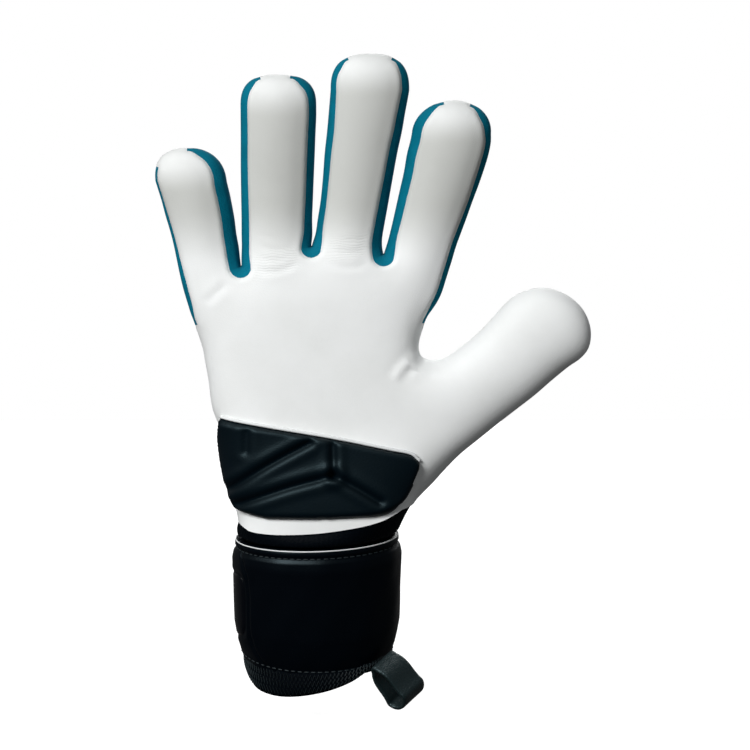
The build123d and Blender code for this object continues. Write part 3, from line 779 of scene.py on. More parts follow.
def made(name, verts, faces, material, body="hand", replaces=(), normals=None, smooth=True):
    """A finished piece from points in millimetres, riding on one body."""
    mesh = bpy.data.meshes.new(name)
    mesh.from_pydata([tuple(float(c) * MM for c in v) for v in verts], [], [tuple(f) for f in faces])
    mesh.materials.append(material)
    mesh.polygons.foreach_set("use_smooth", [smooth] * len(mesh.polygons))
    mesh.update()
    obj = bpy.data.objects.new(name, mesh)
    bpy.context.scene.collection.objects.link(obj)
    if normals is not None:
        mesh.normals_split_custom_set_from_vertices([tuple(n) for n in normals])
    if replaces:
        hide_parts(*replaces)
    if body:
        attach(obj, body)
    return obj


def shelled(outer, inner, faces):
    """A closed shell between two matching skins, with a wall along each free edge."""
    count = len(outer)
    walls = [(b, a, a + count, b + count) for a, b in free_sides(faces)]
    inside = [tuple(v + count for v in reversed(face)) for face in faces]
    return np.vstack([outer, inner]), [tuple(f) for f in faces] + inside + walls


def hand_piece(name, chosen, wall, material, replaces, body=None, depth=0.0):
    """One sewn panel of the hand, cut from its surface and given its thickness."""
    faces = [HAND["faces"][i] for i in np.flatnonzero(chosen)]
    used = np.unique(np.concatenate([np.array(f) for f in faces]))
    renumber = {int(v): i for i, v in enumerate(used)}
    faces = [tuple(renumber[v] for v in f) for f in faces]
    outer, normal = HAND["verts"][used], HAND["normals"][used]
    verts, faces = shelled(outer - normal * depth, outer - normal * (depth + wall), faces)
    return made(name, verts, faces, material, body, replaces, np.vstack([normal, -normal]))


def on_hand(x, z, side):
    """The point of the hand's surface at a place, and its normal, from the palm side (-1) or the back (1)."""
    place, normal, *_ = HAND["tree"].ray_cast(Vector((x, side * 90, z)), Vector((0, -side, 0)))
    if place is None:
        place, normal, *_ = HAND["tree"].find_nearest(Vector((x, 0, z)))
    return np.array(place), np.array(normal)


def laid_on_hand(points, side):
    """Points laid on the hand's surface, and the normals there."""
    found = [on_hand(x, z, side) for x, z in points]
    return np.array([place for place, _ in found]), np.array([normal for _, normal in found])


def eased_normals(normal, faces, rounds):
    """Normals averaged with their neighbours', so that a pad's face is even."""
    pairs = {(min(a, b), max(a, b)) for f in faces for a, b in zip(f, f[1:] + f[:1])}
    i, j = np.array(sorted(pairs)).T
    count = len(normal)
    degree = np.bincount(i, minlength=count) + np.bincount(j, minlength=count)
    for _ in range(rounds):
        total = normal * degree[:, None]
        for axis in range(3):
            total[:, axis] += np.bincount(i, normal[j, axis], count) + np.bincount(j, normal[i, axis], count)
        normal = total / np.linalg.norm(total, axis=1)[:, None]
    return normal


def raised_pad(name, corners, thick, rounding, quilting, side, material, replaces, step):
    """A quilted pad that follows the hand's surface."""
    path = grown([*corners, corners[0]], PAD_OUTLINE_STEP)[:-1]
    after = np.roll(path, -1, 0)
    if (after[:, 0] * path[:, 1] - path[:, 0] * after[:, 1]).sum() > 0:
        path = path[::-1]
    verts, tris, _ = filled(path, step)
    faces = [tuple(int(v) for v in t) for t in tris]
    if side > 0:
        faces = [f[::-1] for f in faces]
    place, normal = laid_on_hand(verts, side)
    normal = eased_normals(normal, faces, PAD_EVENING)
    edge, _ = from_path(verts, np.vstack([path, path[:1]]))
    t = np.clip(edge / rounding, 0, 1)
    height = PAD_EDGE + (thick - PAD_EDGE) * np.sqrt(1 - (1 - t) ** 2)
    for line, depth in quilting:
        far, _ = from_path(verts, grown(line, GROOVE_STEP))
        height -= depth * np.exp(-(far / GROOVE_HALF) ** 2) * t
        height += GROOVE_SWELL * depth * np.exp(-((far - GROOVE_SWELL_AT) / GROOVE_SWELL_HALF) ** 2) * t
    outer = place + normal * np.maximum(height, PAD_LEAST)[:, None]
    verts, faces = shelled(outer, place - normal * PAD_SUNK, faces)
    made(name, verts, faces, material, "hand", replaces)


def ring_height(ring, x, y):
    """The height of a sloping ring round the wrist at a place."""
    height, back, across = ring
    return height + y * math.tan(math.radians(back)) + x * math.tan(math.radians(across))


def oval(angle, half, offset, centre=0.0):
    """A point of the cuff's oval, grown by an offset."""
    a = math.radians(angle)
    return centre + (half[0] + offset) * math.cos(a), (half[1] + offset) * math.sin(a)


def banded(start, end, columns, rows, place):
    """A grid of points round the wrist; place gives (x, y, z) from an angle and a row."""
    whole = abs(abs(end - start) - 360) < 1e-6
    angles = np.linspace(start, end, columns, endpoint=not whole)
    verts = np.array([[place(a, r) for r in range(rows)] for a in angles])
    faces = []
    for i in range(columns if whole else columns - 1):
        j = (i + 1) % columns
        for r in range(rows - 1):
            face = (i * rows + r, i * rows + r + 1, j * rows + r + 1, j * rows + r)
            faces.append(face if end < start else face[::-1])
    return verts.reshape(-1, 3), faces


def grid_shell(span, columns, rows, outer, inner):
    """A closed shell round the wrist, between two angles."""
    out, faces = banded(*span, columns, rows, outer)
    into, _ = banded(*span, columns, rows, inner)
    return shelled(out, into, faces)


def ring_faces(count, sides, closed):
    """The faces of a tube of so many rings, each with so many points."""
    faces = []
    for i in range(count if closed else count - 1):
        j = (i + 1) % count
        for k in range(sides):
            m = (k + 1) % sides
            faces.append((i * sides + k, i * sides + m, j * sides + m, j * sides + k))
    return faces


def tube(path, radius, sides):
    """A thread or cord of round section along a path, with capped ends."""
    path = np.asarray(path, float)
    ahead = np.roll(path, -1, 0) - np.roll(path, 1, 0)
    ahead[0], ahead[-1] = path[1] - path[0], path[-1] - path[-2]
    ahead /= np.linalg.norm(ahead, axis=1)[:, None]
    side = np.cross(ahead, (0, 0, 1.0))
    weak = np.linalg.norm(side, axis=1) < 0.1
    side[weak] = np.cross(ahead[weak], (0, 1.0, 0))
    side /= np.linalg.norm(side, axis=1)[:, None]
    up = np.cross(side, ahead)
    verts = []
    for i, p in enumerate(path):
        for k in range(sides):
            a = 2 * math.pi * k / sides
            verts.append(p + radius * (math.cos(a) * side[i] + math.sin(a) * up[i]))
    last = (len(path) - 1) * sides
    caps = [tuple(range(sides))[::-1], tuple(last + k for k in range(sides))]
    return verts, ring_faces(len(path), sides, False) + caps


def joined(parts):
    """Several meshes as one list of points and faces."""
    verts, faces = [], []
    for v, f in parts:
        base = len(verts)
        verts += list(v)
        faces += [tuple(i + base for i in face) for face in f]
    return verts, faces


def strap_offset(below):
    """How far the strap's face stands out, at a distance below its top edge."""
    return float(np.interp(below, *zip(*STRAP_SECTION)))


def strap_level(x, y, below):
    """The height of a place on the strap, at a distance below its top edge."""
    top, foot = ring_height(STRAP_TOP, x, y), ring_height(STRAP_FOOT, x, y)
    return top + (foot - top) * below / STRAP_HEIGHT


def badge_depth(x, y, z):
    """How far the strap's face is pressed in for the bare badge."""
    if x > BADGE_SIDE:
        return 0.0
    across = abs(y - BADGE_MIDDLE[0]) - BADGE_HALF[0] + BADGE_CORNER
    up = abs(z - BADGE_MIDDLE[1]) - BADGE_HALF[1] + BADGE_CORNER
    far = math.hypot(max(across, 0), max(up, 0)) + min(max(across, up), 0) - BADGE_CORNER
    rim = BADGE_RIM[0] * math.exp(-((far - BADGE_RIM[1]) / BADGE_RIM[2]) ** 2)
    return BADGE_SUNK * float(smooth_step((BADGE_EASE[0] - far) / BADGE_EASE[1])) - rim


def panel_seam(angle, below):
    """How far the strap's face is drawn in along the seam beside the badge."""
    middle = float(np.interp(below, *zip(*STRAP_SEAM)))
    way = (angle - middle) * math.radians(1) * CUFF_HALF[0]
    valley = STRAP_SEAM_VALLEY[0] * math.exp(-(way / STRAP_SEAM_VALLEY[1]) ** 2)
    ridge = STRAP_SEAM_RIDGE[0] * math.exp(-((way - STRAP_SEAM_RIDGE[1]) / STRAP_SEAM_RIDGE[2]) ** 2)
    return valley - ridge


def strap_face(angle, below, extra=0.0):
    """A point of the strap's face at an angle round the wrist and a distance below its top edge."""
    x, y = oval(angle, STRAP_OUTER, strap_offset(below) + extra, STRAP_CENTRE)
    return x, y, strap_level(x, y, below)


def cuff_place(angle, below, offset):
    """A point of the cuff's oval, grown by an offset, at a distance below the strap's top edge."""
    x, y = oval(angle, CUFF_HALF, offset)
    return x, y, strap_level(x, y, below)


def end_rounding(angle, span, depth, width):
    """How far a strap is rounded off near the ends of its span."""
    ends = min(abs(angle - span[0]), abs(angle - span[1]))
    return depth * max(0.0, 1 - ends / width) ** 2


def rounded_square(u, v):
    """Maps a square's point to a square with rounded corners."""
    reach = max(abs(u), abs(v))
    if reach < 1e-9:
        return 0.0, 0.0
    across, up = abs(u) / reach, abs(v) / reach
    straight = 1 - BADGE_PLATE_ROUND
    if across > straight and up > straight:
        a = math.atan2(up - straight, across - straight)
        across = straight + BADGE_PLATE_ROUND * math.cos(a)
        up = straight + BADGE_PLATE_ROUND * math.sin(a)
    return math.copysign(across, u) * reach, math.copysign(up, v) * reach


def strap_side(y, z, extra):
    """A point of the strap's face on the little finger's side, from its Y and Z."""
    top, foot = ring_height(STRAP_TOP, BADGE_X, y), ring_height(STRAP_FOOT, BADGE_X, y)
    below = float(np.clip((top - z) / (top - foot), 0, 1)) * STRAP_HEIGHT
    half_x, half_y = (half + strap_offset(below) + extra for half in STRAP_OUTER)
    return STRAP_CENTRE - half_x * math.sqrt(max(0.0, 1 - (y / half_y) ** 2)), y, z


def signed_volume(verts, faces):
    """The volume inside a closed mesh, below zero when its faces point inwards."""
    total = 0.0
    for f in faces:
        for b, c in zip(f[1:-1], f[2:]):
            total += float(np.dot(verts[f[0]], np.cross(verts[b], verts[c])))
    return total / 6


# ---------------------------------------------------------------------------
# Finishes
# ---------------------------------------------------------------------------

def add(tree, kind, inputs=None, **settings):
    """A shader node with its settings; each input is a value or another node's socket."""
    node = tree.nodes.new("ShaderNode" + kind)
    for name, value in settings.items():
        setattr(node, name, value)
    for name, value in (inputs or {}).items():
        if isinstance(value, bpy.types.NodeSocket):
            tree.links.new(value, node.inputs[name])
        else:
            node.inputs[name].default_value = value
    return node


def maths(tree, operation, *values):
    """The result of a Math node on numbers and sockets."""
    return add(tree, "Math", dict(enumerate(values)), operation=operation).outputs[0]


def eased_between(tree, value, start, end):
    """A socket's value eased from 0 at one number to 1 at another."""
    inputs = {"Value": value, "From Min": start, "From Max": end}
    return add(tree, "MapRange", inputs, interpolation_type="SMOOTHSTEP").outputs["Result"]


def new_group(name, inputs, output, kind):
    """A shader node group with named inputs; gives its input sockets and the socket that it puts out."""
    group = bpy.data.node_groups.new(name, "ShaderNodeTree")
    for label, (socket, value) in inputs.items():
        entry = group.interface.new_socket(name=label, in_out="INPUT", socket_type="NodeSocket" + socket)
        entry.default_value = value
    group.interface.new_socket(name=output, in_out="OUTPUT", socket_type="NodeSocket" + kind)
    nodes = group.nodes
    return group, nodes.new("NodeGroupInput").outputs, nodes.new("NodeGroupOutput").inputs[output]


def knit_group():
    """Fine knit: a height that rises and falls with the stitches."""
    group, given, out = new_group(
        "Fine Knit", {"Stitch Size": ("Float", 0.0008), "Unevenness": ("Float", 0.3)}, "Height", "Float")
    place = add(group, "TexCoord").outputs["Object"]
    size = add(group, "CombineXYZ", {axis: given["Stitch Size"] for axis in "XYZ"})
    stitches = add(group, "VectorMath", {0: place, 1: size.outputs[0]}, operation="DIVIDE")
    cells = add(group, "TexVoronoi", {"Scale": 1.0, "Vector": stitches.outputs[0]})
    noise = add(group, "TexNoise", {"Scale": 240.0, "Vector": place})
    fuzz, holes = noise.outputs["Fac"], cells.outputs["Distance"]
    uneven = maths(group, "MULTIPLY_ADD", fuzz, given["Unevenness"], holes)
    group.links.new(uneven, out)
    return group


def wear_group():
    """Cloth colour that is a little darker in soft patches."""
    group, given, out = new_group("Soft Wear", {
        "Color": ("Color", (0.8, 0.8, 0.8, 1)), "Worn Color": ("Color", (0.7, 0.7, 0.7, 1)),
        "Patch Scale": ("Float", 60.0), "Amount": ("Float", 0.4),
    }, "Color", "Color")
    place = add(group, "TexCoord").outputs["Object"]
    noise = add(group, "TexNoise", {"Detail": 5.0, "Scale": given["Patch Scale"], "Vector": place})
    spread = add(group, "MapRange", {"Value": noise.outputs["Fac"], "From Min": 0.42, "From Max": 0.68})
    amount = maths(group, "MULTIPLY", spread.outputs["Result"], given["Amount"])
    colours = {"Factor": amount, "A": given["Color"], "B": given["Worn Color"]}
    group.links.new(add(group, "Mix", colours, data_type="RGBA").outputs["Result"], out)
    return group


# Where each finger's tip is, for the painted shade on the fingers: x from which it counts, then height, in
# metres
TIP_HEIGHTS = [(-0.080, 0.236), (-0.035, 0.268), (0.0012, 0.277), (0.0395, 0.257)]
TIP_REACH = 0.08
TIP_FADE = (-0.019, -0.006)


def finger_shade_group():
    """Painted shade on the latex: a colour that goes a little greyer from the finger roots up, but less so at
    the tips.
    """
    group, given, out = new_group("Painted Finger Shade", {
        "Color": ("Color", (0.8, 0.8, 0.8, 1)), "Grey": ("Color", (0.9, 0.9, 0.9, 1)),
        "From": ("Float", 0.185), "To": ("Float", 0.215), "Tip Light": ("Float", 0.8),
    }, "Color", "Color")
    place = add(group, "SeparateXYZ", {0: add(group, "TexCoord").outputs["Object"]}).outputs
    across = add(group, "MapRange", {"Value": place["X"], "From Min": -TIP_REACH, "From Max": TIP_REACH})
    tips = add(group, "ValToRGB", {"Fac": across.outputs["Result"]})
    ramp = tips.color_ramp
    ramp.interpolation = "CONSTANT"
    while len(ramp.elements) < len(TIP_HEIGHTS):
        ramp.elements.new(0.5)
    for stop, (x, height) in zip(ramp.elements, TIP_HEIGHTS):
        stop.position, stop.color = (x + TIP_REACH) / (2 * TIP_REACH), (height, height, height, 1)
    near_tip = eased_between(group, maths(group, "SUBTRACT", place["Z"], tips.outputs["Color"]), *TIP_FADE)
    rise = eased_between(group, place["Z"], given["From"], given["To"])
    light = maths(group, "MULTIPLY", near_tip, given["Tip Light"])
    # How much painted shade: full above the finger roots, less near each finger's tip
    grey = maths(group, "MULTIPLY_ADD", light, maths(group, "MULTIPLY", rise, -1.0), rise)
    colours = {"Factor": grey, "A": given["Color"], "B": given["Grey"]}
    mix = add(group, "Mix", colours, data_type="RGBA", blend_type="MULTIPLY")
    group.links.new(mix.outputs["Result"], out)
    return group


# Where the fine wrinkles lie, in metres: height, slope, and the middle between their two places
WRINKLE_HEIGHT, WRINKLE_SLOPE, WRINKLE_MIDDLE = 0.1915, -0.22, -0.002
# Half the distance between the two places, and where the wrinkles end and are full, up and across
WRINKLE_APART, WRINKLE_UP, WRINKLE_ACROSS = 0.0155, (0.008, 0.002), (0.013, 0.005)


def wrinkle_group():
    """Fine wrinkles across the palm, just below the roots of the middle two fingers."""
    group, given, out = new_group("Fine Wrinkles", {"Waves": ("Float", 270.0)}, "Height", "Float")
    place = add(group, "TexCoord").outputs["Object"]
    split = add(group, "SeparateXYZ", {0: place}).outputs
    waves = {"Distortion": 9.0, "Detail Scale": 0.5, "Vector": place, "Scale": given["Waves"]}
    wave = add(group, "TexWave", waves, bands_direction="Z")
    sloped = maths(group, "MULTIPLY_ADD", split["X"], WRINKLE_SLOPE, split["Z"])
    above = maths(group, "ABSOLUTE", maths(group, "SUBTRACT", sloped, WRINKLE_HEIGHT))
    from_middle = maths(group, "ABSOLUTE", maths(group, "SUBTRACT", split["X"], WRINKLE_MIDDLE))
    beside = maths(group, "ABSOLUTE", maths(group, "SUBTRACT", from_middle, WRINKLE_APART))
    up, across = eased_between(group, above, *WRINKLE_UP), eased_between(group, beside, *WRINKLE_ACROSS)
    shown = maths(group, "MULTIPLY", up, across)
    group.links.new(maths(group, "MULTIPLY", shown, wave.outputs["Fac"]), out)
    return group


def finish_named(name, colour, worn, rough, stitch, lift,
                 sheen=0.0, patch=60.0, amount=0.4, shine=0.35, tint=(1, 1, 1)):
    """A cloth or rubber material: worn colour, roughness and a fine relief."""
    if name in bpy.data.materials:
        return bpy.data.materials[name]
    material = bpy.data.materials.new(name)
    material.use_nodes = True
    material.diffuse_color = (*colour, 1)
    tree = material.node_tree
    shader = tree.nodes["Principled BSDF"].inputs
    shader["Roughness"].default_value = rough
    shader["Sheen Weight"].default_value = sheen
    shader["Specular IOR Level"].default_value = shine
    shader["Specular Tint"].default_value = (*tint, 1)
    cloth = {"Color": (*colour, 1), "Worn Color": (*worn, 1), "Patch Scale": patch, "Amount": amount}
    shared = bpy.data.node_groups
    wear = add(tree, "Group", cloth, node_tree=shared.get("Soft Wear") or wear_group())
    knit = add(tree, "Group", {"Stitch Size": stitch}, node_tree=shared.get("Fine Knit") or knit_group())
    bump = add(tree, "Bump", {"Strength": lift, "Distance": 0.0002, "Height": knit.outputs["Height"]})
    tree.links.new(wear.outputs["Color"], shader["Base Color"])
    tree.links.new(bump.outputs["Normal"], shader["Normal"])
    return material


def latex_finish():
    """White latex with painted shade that makes it greyer on the fingers, and finely wrinkled at their roots.
    """
    if "White Latex" in bpy.data.materials:
        return bpy.data.materials["White Latex"]
    latex = tuple(bpy.context.scene.glove_hand.latex)
    worn = (0.71, 0.725, 0.71)
    material = finish_named(
        "White Latex", latex, worn, rough=0.66, stitch=0.0005, lift=0.2, patch=42.0, amount=0.35, shine=0.2)
    tree = material.node_tree
    shader = tree.nodes["Principled BSDF"].inputs
    colour, normal = (shader[name].links[0].from_socket for name in ("Base Color", "Normal"))
    # The fingers' grey is painted shade, multiplied into the latex colour and lighter near the tips
    finger_shade = add(tree, "Group", {"Grey": (0.69, 0.69, 0.665, 1), "Color": colour}, node_tree=finger_shade_group())
    wrinkles = add(tree, "Group", node_tree=wrinkle_group()).outputs["Height"]
    bump = add(tree, "Bump", {"Strength": 0.28, "Distance": 0.0003, "Height": wrinkles, "Normal": normal})
    tree.links.new(finger_shade.outputs["Color"], shader["Base Color"])
    tree.links.new(bump.outputs["Normal"], shader["Normal"])
    return material


def gusset_finish():
    """Teal knit of the finger gussets."""
    gusset, worn = tuple(bpy.context.scene.glove_hand.gusset), (0.001, 0.11, 0.168)
    return finish_named(
        "Teal Gusset Knit", gusset, worn,
        rough=0.85, stitch=0.0007, lift=0.6, patch=120.0, amount=0.5, shine=0.04)


def back_finish():
    """White cloth of the back of the hand."""
    white, worn = (0.76, 0.77, 0.76), (0.66, 0.67, 0.66)
    return finish_named("White Back Cloth", white, worn, rough=0.7, stitch=0.0008, lift=0.5)


def lining_finish():
    """Soft grey cloth inside the hand."""
    grey, worn = (0.52, 0.53, 0.53), (0.45, 0.46, 0.46)
    return finish_named("Grey Lining", grey, worn, rough=0.9, stitch=0.0009, lift=0.6, sheen=0.2)


def pad_finish():
    """Smooth black skin of the heel pad."""
    pad, worn = tuple(bpy.context.scene.glove_cuff.pad), (0.001, 0.003, 0.0045)
    tint = (0.6, 0.9, 1.0)
    return finish_named(
        "Black Quilted Pad", pad, worn,
        rough=0.52, stitch=0.0006, lift=0.25, patch=160.0, shine=0.12, tint=tint)


def knit_finish():
    """Black knit of the wrist elastic and the hem."""
    black, worn = (0.0006, 0.0016, 0.003), (0.0012, 0.0025, 0.004)
    return finish_named("Black Wrist Knit", black, worn, rough=0.7, stitch=0.0009, lift=0.8, shine=0.035)


def strap_finish():
    """Smooth black skin of the wrist strap."""
    strap, worn = tuple(bpy.context.scene.glove_cuff.strap), (0.0003, 0.0010, 0.0022)
    tint = (0.65, 0.9, 1.0)
    return finish_named(
        "Black Strap Skin", strap, worn,
        rough=0.38, stitch=0.0006, lift=0.2, patch=140.0, shine=0.075, tint=tint)


def badge_finish():
    """Glossier black of the bare badge."""
    black, worn = (0.0004, 0.0008, 0.0018), (0.0008, 0.0014, 0.0026)
    return finish_named("Bare Badge", black, worn, rough=0.25, stitch=0.0006, lift=0.05, shine=0.1)


def piping_finish():
    """White piping on the pad's and the strap's top edges."""
    white, worn = (0.74, 0.76, 0.76), (0.6, 0.62, 0.62)
    return finish_named("White Piping", white, worn, rough=0.6, stitch=0.0006, lift=0.3)


def thread_finish():
    """Dark sewing thread."""
    dark, worn = (0.013, 0.02, 0.023), (0.018, 0.025, 0.028)
    return finish_named("Dark Thread", dark, worn, rough=0.6, stitch=0.0005, lift=0.2, shine=0.2)


def webbing_finish():
    """Black webbing of the pull tab."""
    black, worn = (0.0045, 0.0095, 0.0105), (0.008, 0.015, 0.016)
    return finish_named(
        "Black Webbing", black, worn,
        rough=0.42, stitch=0.0008, lift=0.9, patch=200.0, tint=(0.7, 0.95, 1.0))


def tape_finish():
    """Hook and loop tapes under the strap's end."""
    dark, worn = (0.008, 0.011, 0.013), (0.014, 0.018, 0.02)
    return finish_named(
        "Hook and Loop Tape", dark, worn, rough=0.9, stitch=0.0007, lift=1.0, sheen=0.2, shine=0.2)


# ---------------------------------------------------------------------------
# Sizes and colours that a user would change
# ---------------------------------------------------------------------------

def colour_property(name, description, default):
    """A colour setting."""
    return FloatVectorProperty(
        name=name, description=description, subtype="COLOR", size=3, min=0, max=1, default=default)


def length_property(name, description, default, low, high):
    """A length setting, in metres."""
    return FloatProperty(
        name=name, description=description, subtype="DISTANCE", unit="LENGTH",
        default=default, min=low, max=high)


class GloveHandSettings(bpy.types.PropertyGroup):
    latex: colour_property("Latex", "Colour of the palm's latex", (0.82, 0.835, 0.83))
    gusset: colour_property("Gusset", "Colour of the finger gussets", (0.0015, 0.157, 0.236))
    latex_wall: length_property(
        "Latex Wall", "Thickness of the latex and its foam", WALLS["latex"] * MM, 0.001, 0.006)


class GloveCuffSettings(bpy.types.PropertyGroup):
    pad: colour_property("Pad", "Colour of the heel pad", (0.0005, 0.0025, 0.0045))
    strap: colour_property("Strap", "Colour of the wrist strap", (0.0002, 0.0007, 0.0018))
    heel_pad: length_property("Heel Pad", "Thickness of the heel pad", HEEL_PAD_THICK * MM, 0.001, 0.008)
    ribs: IntProperty(
        name="Ribs", description="Number of knitted ribs round the wrist", default=104, min=40, max=160)


class GloveStageSettings(bpy.types.PropertyGroup):
    distance: length_property("Camera Distance", "From the camera to the glove", 2.0, 0.5, 6)
    elevation: FloatProperty(
        name="Camera Elevation", description="How far the camera looks down", subtype="ANGLE",
        default=math.radians(5), min=math.radians(-20), max=math.radians(60))


# ---------------------------------------------------------------------------
# Hand
# ---------------------------------------------------------------------------

# What each cloth's piece of the hand is called, the solids that it stands for, and its slot
HAND_PIECES = {
    "latex": ("palm_latex_panel", ("palm_latex",), "white_latex"),
    "gusset": ("hand_gussets", (
        "little_ring_web", "ring_middle_web", "middle_index_web", "little_outer_gusset", "index_outer_gusset",
    ), "teal_gusset"),
    "back": ("back_hand_panel", ("back_hand",), "back_panel"),
}


class GLOVE_OT_hand(bpy.types.Operator):
    """Build the palm, the back, the gussets and the five digits"""
    bl_idname = "glove.hand"
    bl_label = "Hand and Digits"

    def execute(self, context):
        make_hand_surface()
        bodies, cloths = HAND["bodies"], HAND["cloths"]
        finish = {"latex": latex_finish(), "gusset": gusset_finish(), "back": back_finish()}
        walls = dict(WALLS, latex=context.scene.glove_hand.latex_wall / MM)
        for cloth, (name, solids, slot) in HAND_PIECES.items():
            chosen = (bodies == "hand") & (cloths == cloth)
            obj = hand_piece(name, chosen, walls[cloth], finish[cloth], solids, "hand")
        for digit in FOLDS:
            for part, under in (("lower", "hand"), ("upper", digit + "_lower")):
                body = digit + "_" + part
                for cloth, (_, _, slot) in HAND_PIECES.items():
                    if digit == "thumb" and cloth == "gusset":
                        continue
                    name, chosen = f"{body}_{cloth}", (bodies == body) & (cloths == cloth)
                    obj = hand_piece(name + "_panel", chosen, walls[cloth], finish[cloth], (name,))
                    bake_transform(obj)
        in_front = HAND["centres"][:, 1] < middle_surface(HAND["centres"][:, [0, 2]])
        for name, chosen in (("palm_lining", in_front), ("back_lining", ~in_front)):
            obj = hand_piece(
                name + "_panel", chosen & (bodies == "hand"), LINING_WALL, lining_finish(), (name,),
                "hand", LINING_DEPTH)
        return {"FINISHED"}


class GLOVE_OT_pads(bpy.types.Operator):
    """Build the heel pad with its piping, and the pad on the back"""
    bl_idname = "glove.pads"
    bl_label = "Heel Pad and Back Pad"

    def execute(self, context):
        thick = context.scene.glove_cuff.heel_pad / MM
        raised_pad(
            "heel_pad", HEEL_PAD, thick, HEEL_PAD_ROUNDING, HEEL_PAD_QUILTING,
            -1, pad_finish(), ("heel_pad_foam", "heel_pad_skin"), HEEL_PAD_STEP)
        place, normal = laid_on_hand(grown(HEEL_PAD[:HEEL_PAD_TOP_EDGE], PIPING_STEP), -1)
        verts, faces = tube(place + normal * PIPING_OUT + [0.0, 0.0, PIPING_UP], PIPING_RADIUS, PIPING_SIDES)
        solids = ("heel_pad_piping",)
        made("heel_pad_edge_piping", verts, faces, piping_finish(), "hand", solids)
        raised_pad(
            "back_hand_pad", BACK_PAD, BACK_PAD_THICK, BACK_PAD_ROUNDING, BACK_PAD_QUILTING,
            1, back_finish(), ("back_pad",), BACK_PAD_STEP)
        return {"FINISHED"}


# ---------------------------------------------------------------------------
# Cuff
# ---------------------------------------------------------------------------

def elastic_place(angle, row, ribs, wall=0.0):
    """A point of the wrist elastic: first under the strap, then where it shows, then inside the hand."""
    shown_row = row - len(ELASTIC_UNDER_STRAP)
    tucked_row = shown_row - len(ELASTIC_SHOWN)
    if shown_row < 0:
        above, offset = ELASTIC_UNDER_STRAP[row]
        x, y = oval(angle, CUFF_HALF, offset - wall)
        lowest = 0.0 if row else ELASTIC_LOWEST_RISE - ELASTIC_LOWEST_SLOPE * y
        return x, y, ring_height(STRAP_TOP, x, y) + above + lowest
    x, y = oval(angle, CUFF_HALF, 0.0)
    turn, base, start = math.atan2(y, x), math.hypot(x, y), ring_height(STRAP_TOP, x, y)
    edge, height = foot_ring(turn)
    height = max(height, start + ELASTIC_GAP)
    if tucked_row < 0:
        t, full = ELASTIC_SHOWN[shown_row]
        full *= min((height - start - ELASTIC_GAP) / ELASTIC_FADE, 1.0)
        rib = 0.0 if wall else ELASTIC_RIB * math.cos(math.radians(angle) * ribs)
        far = base + ELASTIC_OUT
        far += (edge - ELASTIC_EDGE - far) * t ** ELASTIC_BULGE_POWER
        far += ELASTIC_BULGE * math.sin(math.pi * t) + rib
        tuck = base + (edge - ELASTIC_TUCK - base) * t
        far, z = tuck + (far - tuck) * full, start + (height - start) * t
    else:
        above, inset = ELASTIC_TUCKED[tucked_row]
        far, z = edge - inset, height + above
    return (far - wall) * math.cos(turn), (far - wall) * math.sin(turn), z


def hem_place(angle, row, feet, wall=0.0):
    """A point of the hem; its rows run down to its lower edge, whose heights are in feet."""
    x, y = oval(angle, CUFF_HALF, HEM_OFFSETS[row] - wall)
    foot = float(np.interp(angle % 360, feet[:, 0], feet[:, 1]))
    top = max(ring_height(STRAP_FOOT, x, y) + HEM_LAP, foot + HEM_LEAST)
    return x, y, top + (foot - top) * row / (len(HEM_OFFSETS) - 1)


def zigzag(feet, low, high):
    """One line of zigzag stitching on the hem, between two places among its rows."""
    path = []
    for i, angle in enumerate(np.linspace(ZIGZAG_FROM, ZIGZAG_FROM + ZIGZAG_SPAN, ZIGZAG_POINTS)):
        row = low if i % 2 else high
        above, below = (np.array(hem_place(angle, int(row) + down, feet)) for down in (0, 1))
        p = above + (below - above) * (row - int(row))
        out = np.array([p[0] / CUFF_HALF[0] ** 2, p[1] / CUFF_HALF[1] ** 2, 0.0])
        path.append(p + out / np.linalg.norm(out) * ZIGZAG_OUT)
    return tube(path, STITCH_RADIUS, THREAD_SIDES)


class GLOVE_OT_cuff(bpy.types.Operator):
    """Build the knitted wrist elastic and the zigzag-stitched hem"""
    bl_idname = "glove.cuff"
    bl_label = "Wrist Elastic and Hem"

    def execute(self, context):
        ribs = context.scene.glove_cuff.ribs
        rows = len(ELASTIC_UNDER_STRAP) + len(ELASTIC_SHOWN) + len(ELASTIC_TUCKED)
        verts, faces = grid_shell(
            (0, 360), ribs * ELASTIC_RIB_COLUMNS, rows,
            lambda a, r: elastic_place(a, r, ribs), lambda a, r: elastic_place(a, r, ribs, ELASTIC_WALL))
        knit = knit_finish()
        obj = made("wrist_elastic_knit", verts, faces, knit, "hand", ("wrist_elastic",))
        feet = grown(HEM_FOOT, HEM_STEP)
        verts, faces = grid_shell(
            (360, 0), HEM_COLUMNS, len(HEM_OFFSETS),
            lambda a, r: hem_place(a, r, feet), lambda a, r: hem_place(a, r, feet, HEM_WALL))
        faces = [f[::-1] for f in faces]
        obj = made("cuff_hem_band", verts, faces, knit, "hand", ("cuff_hem",))
        verts, faces = joined([zigzag(feet, *rows) for rows in ZIGZAG_ROWS])
        made("hem_zigzag_stitching", verts, faces, thread_finish(), smooth=False)
        return {"FINISHED"}


# ---------------------------------------------------------------------------
# Strap
# ---------------------------------------------------------------------------

def strap_rows():
    """The strap's rows, as distances below its top edge, closer together near that edge."""
    spread = np.concatenate([
        np.linspace(STRAP_HEIGHT, STRAP_FINE, STRAP_ROWS), np.linspace(STRAP_FINE, 0, STRAP_FINE_ROWS)])
    return sorted({round(float(b), 3) for b in spread}, reverse=True)


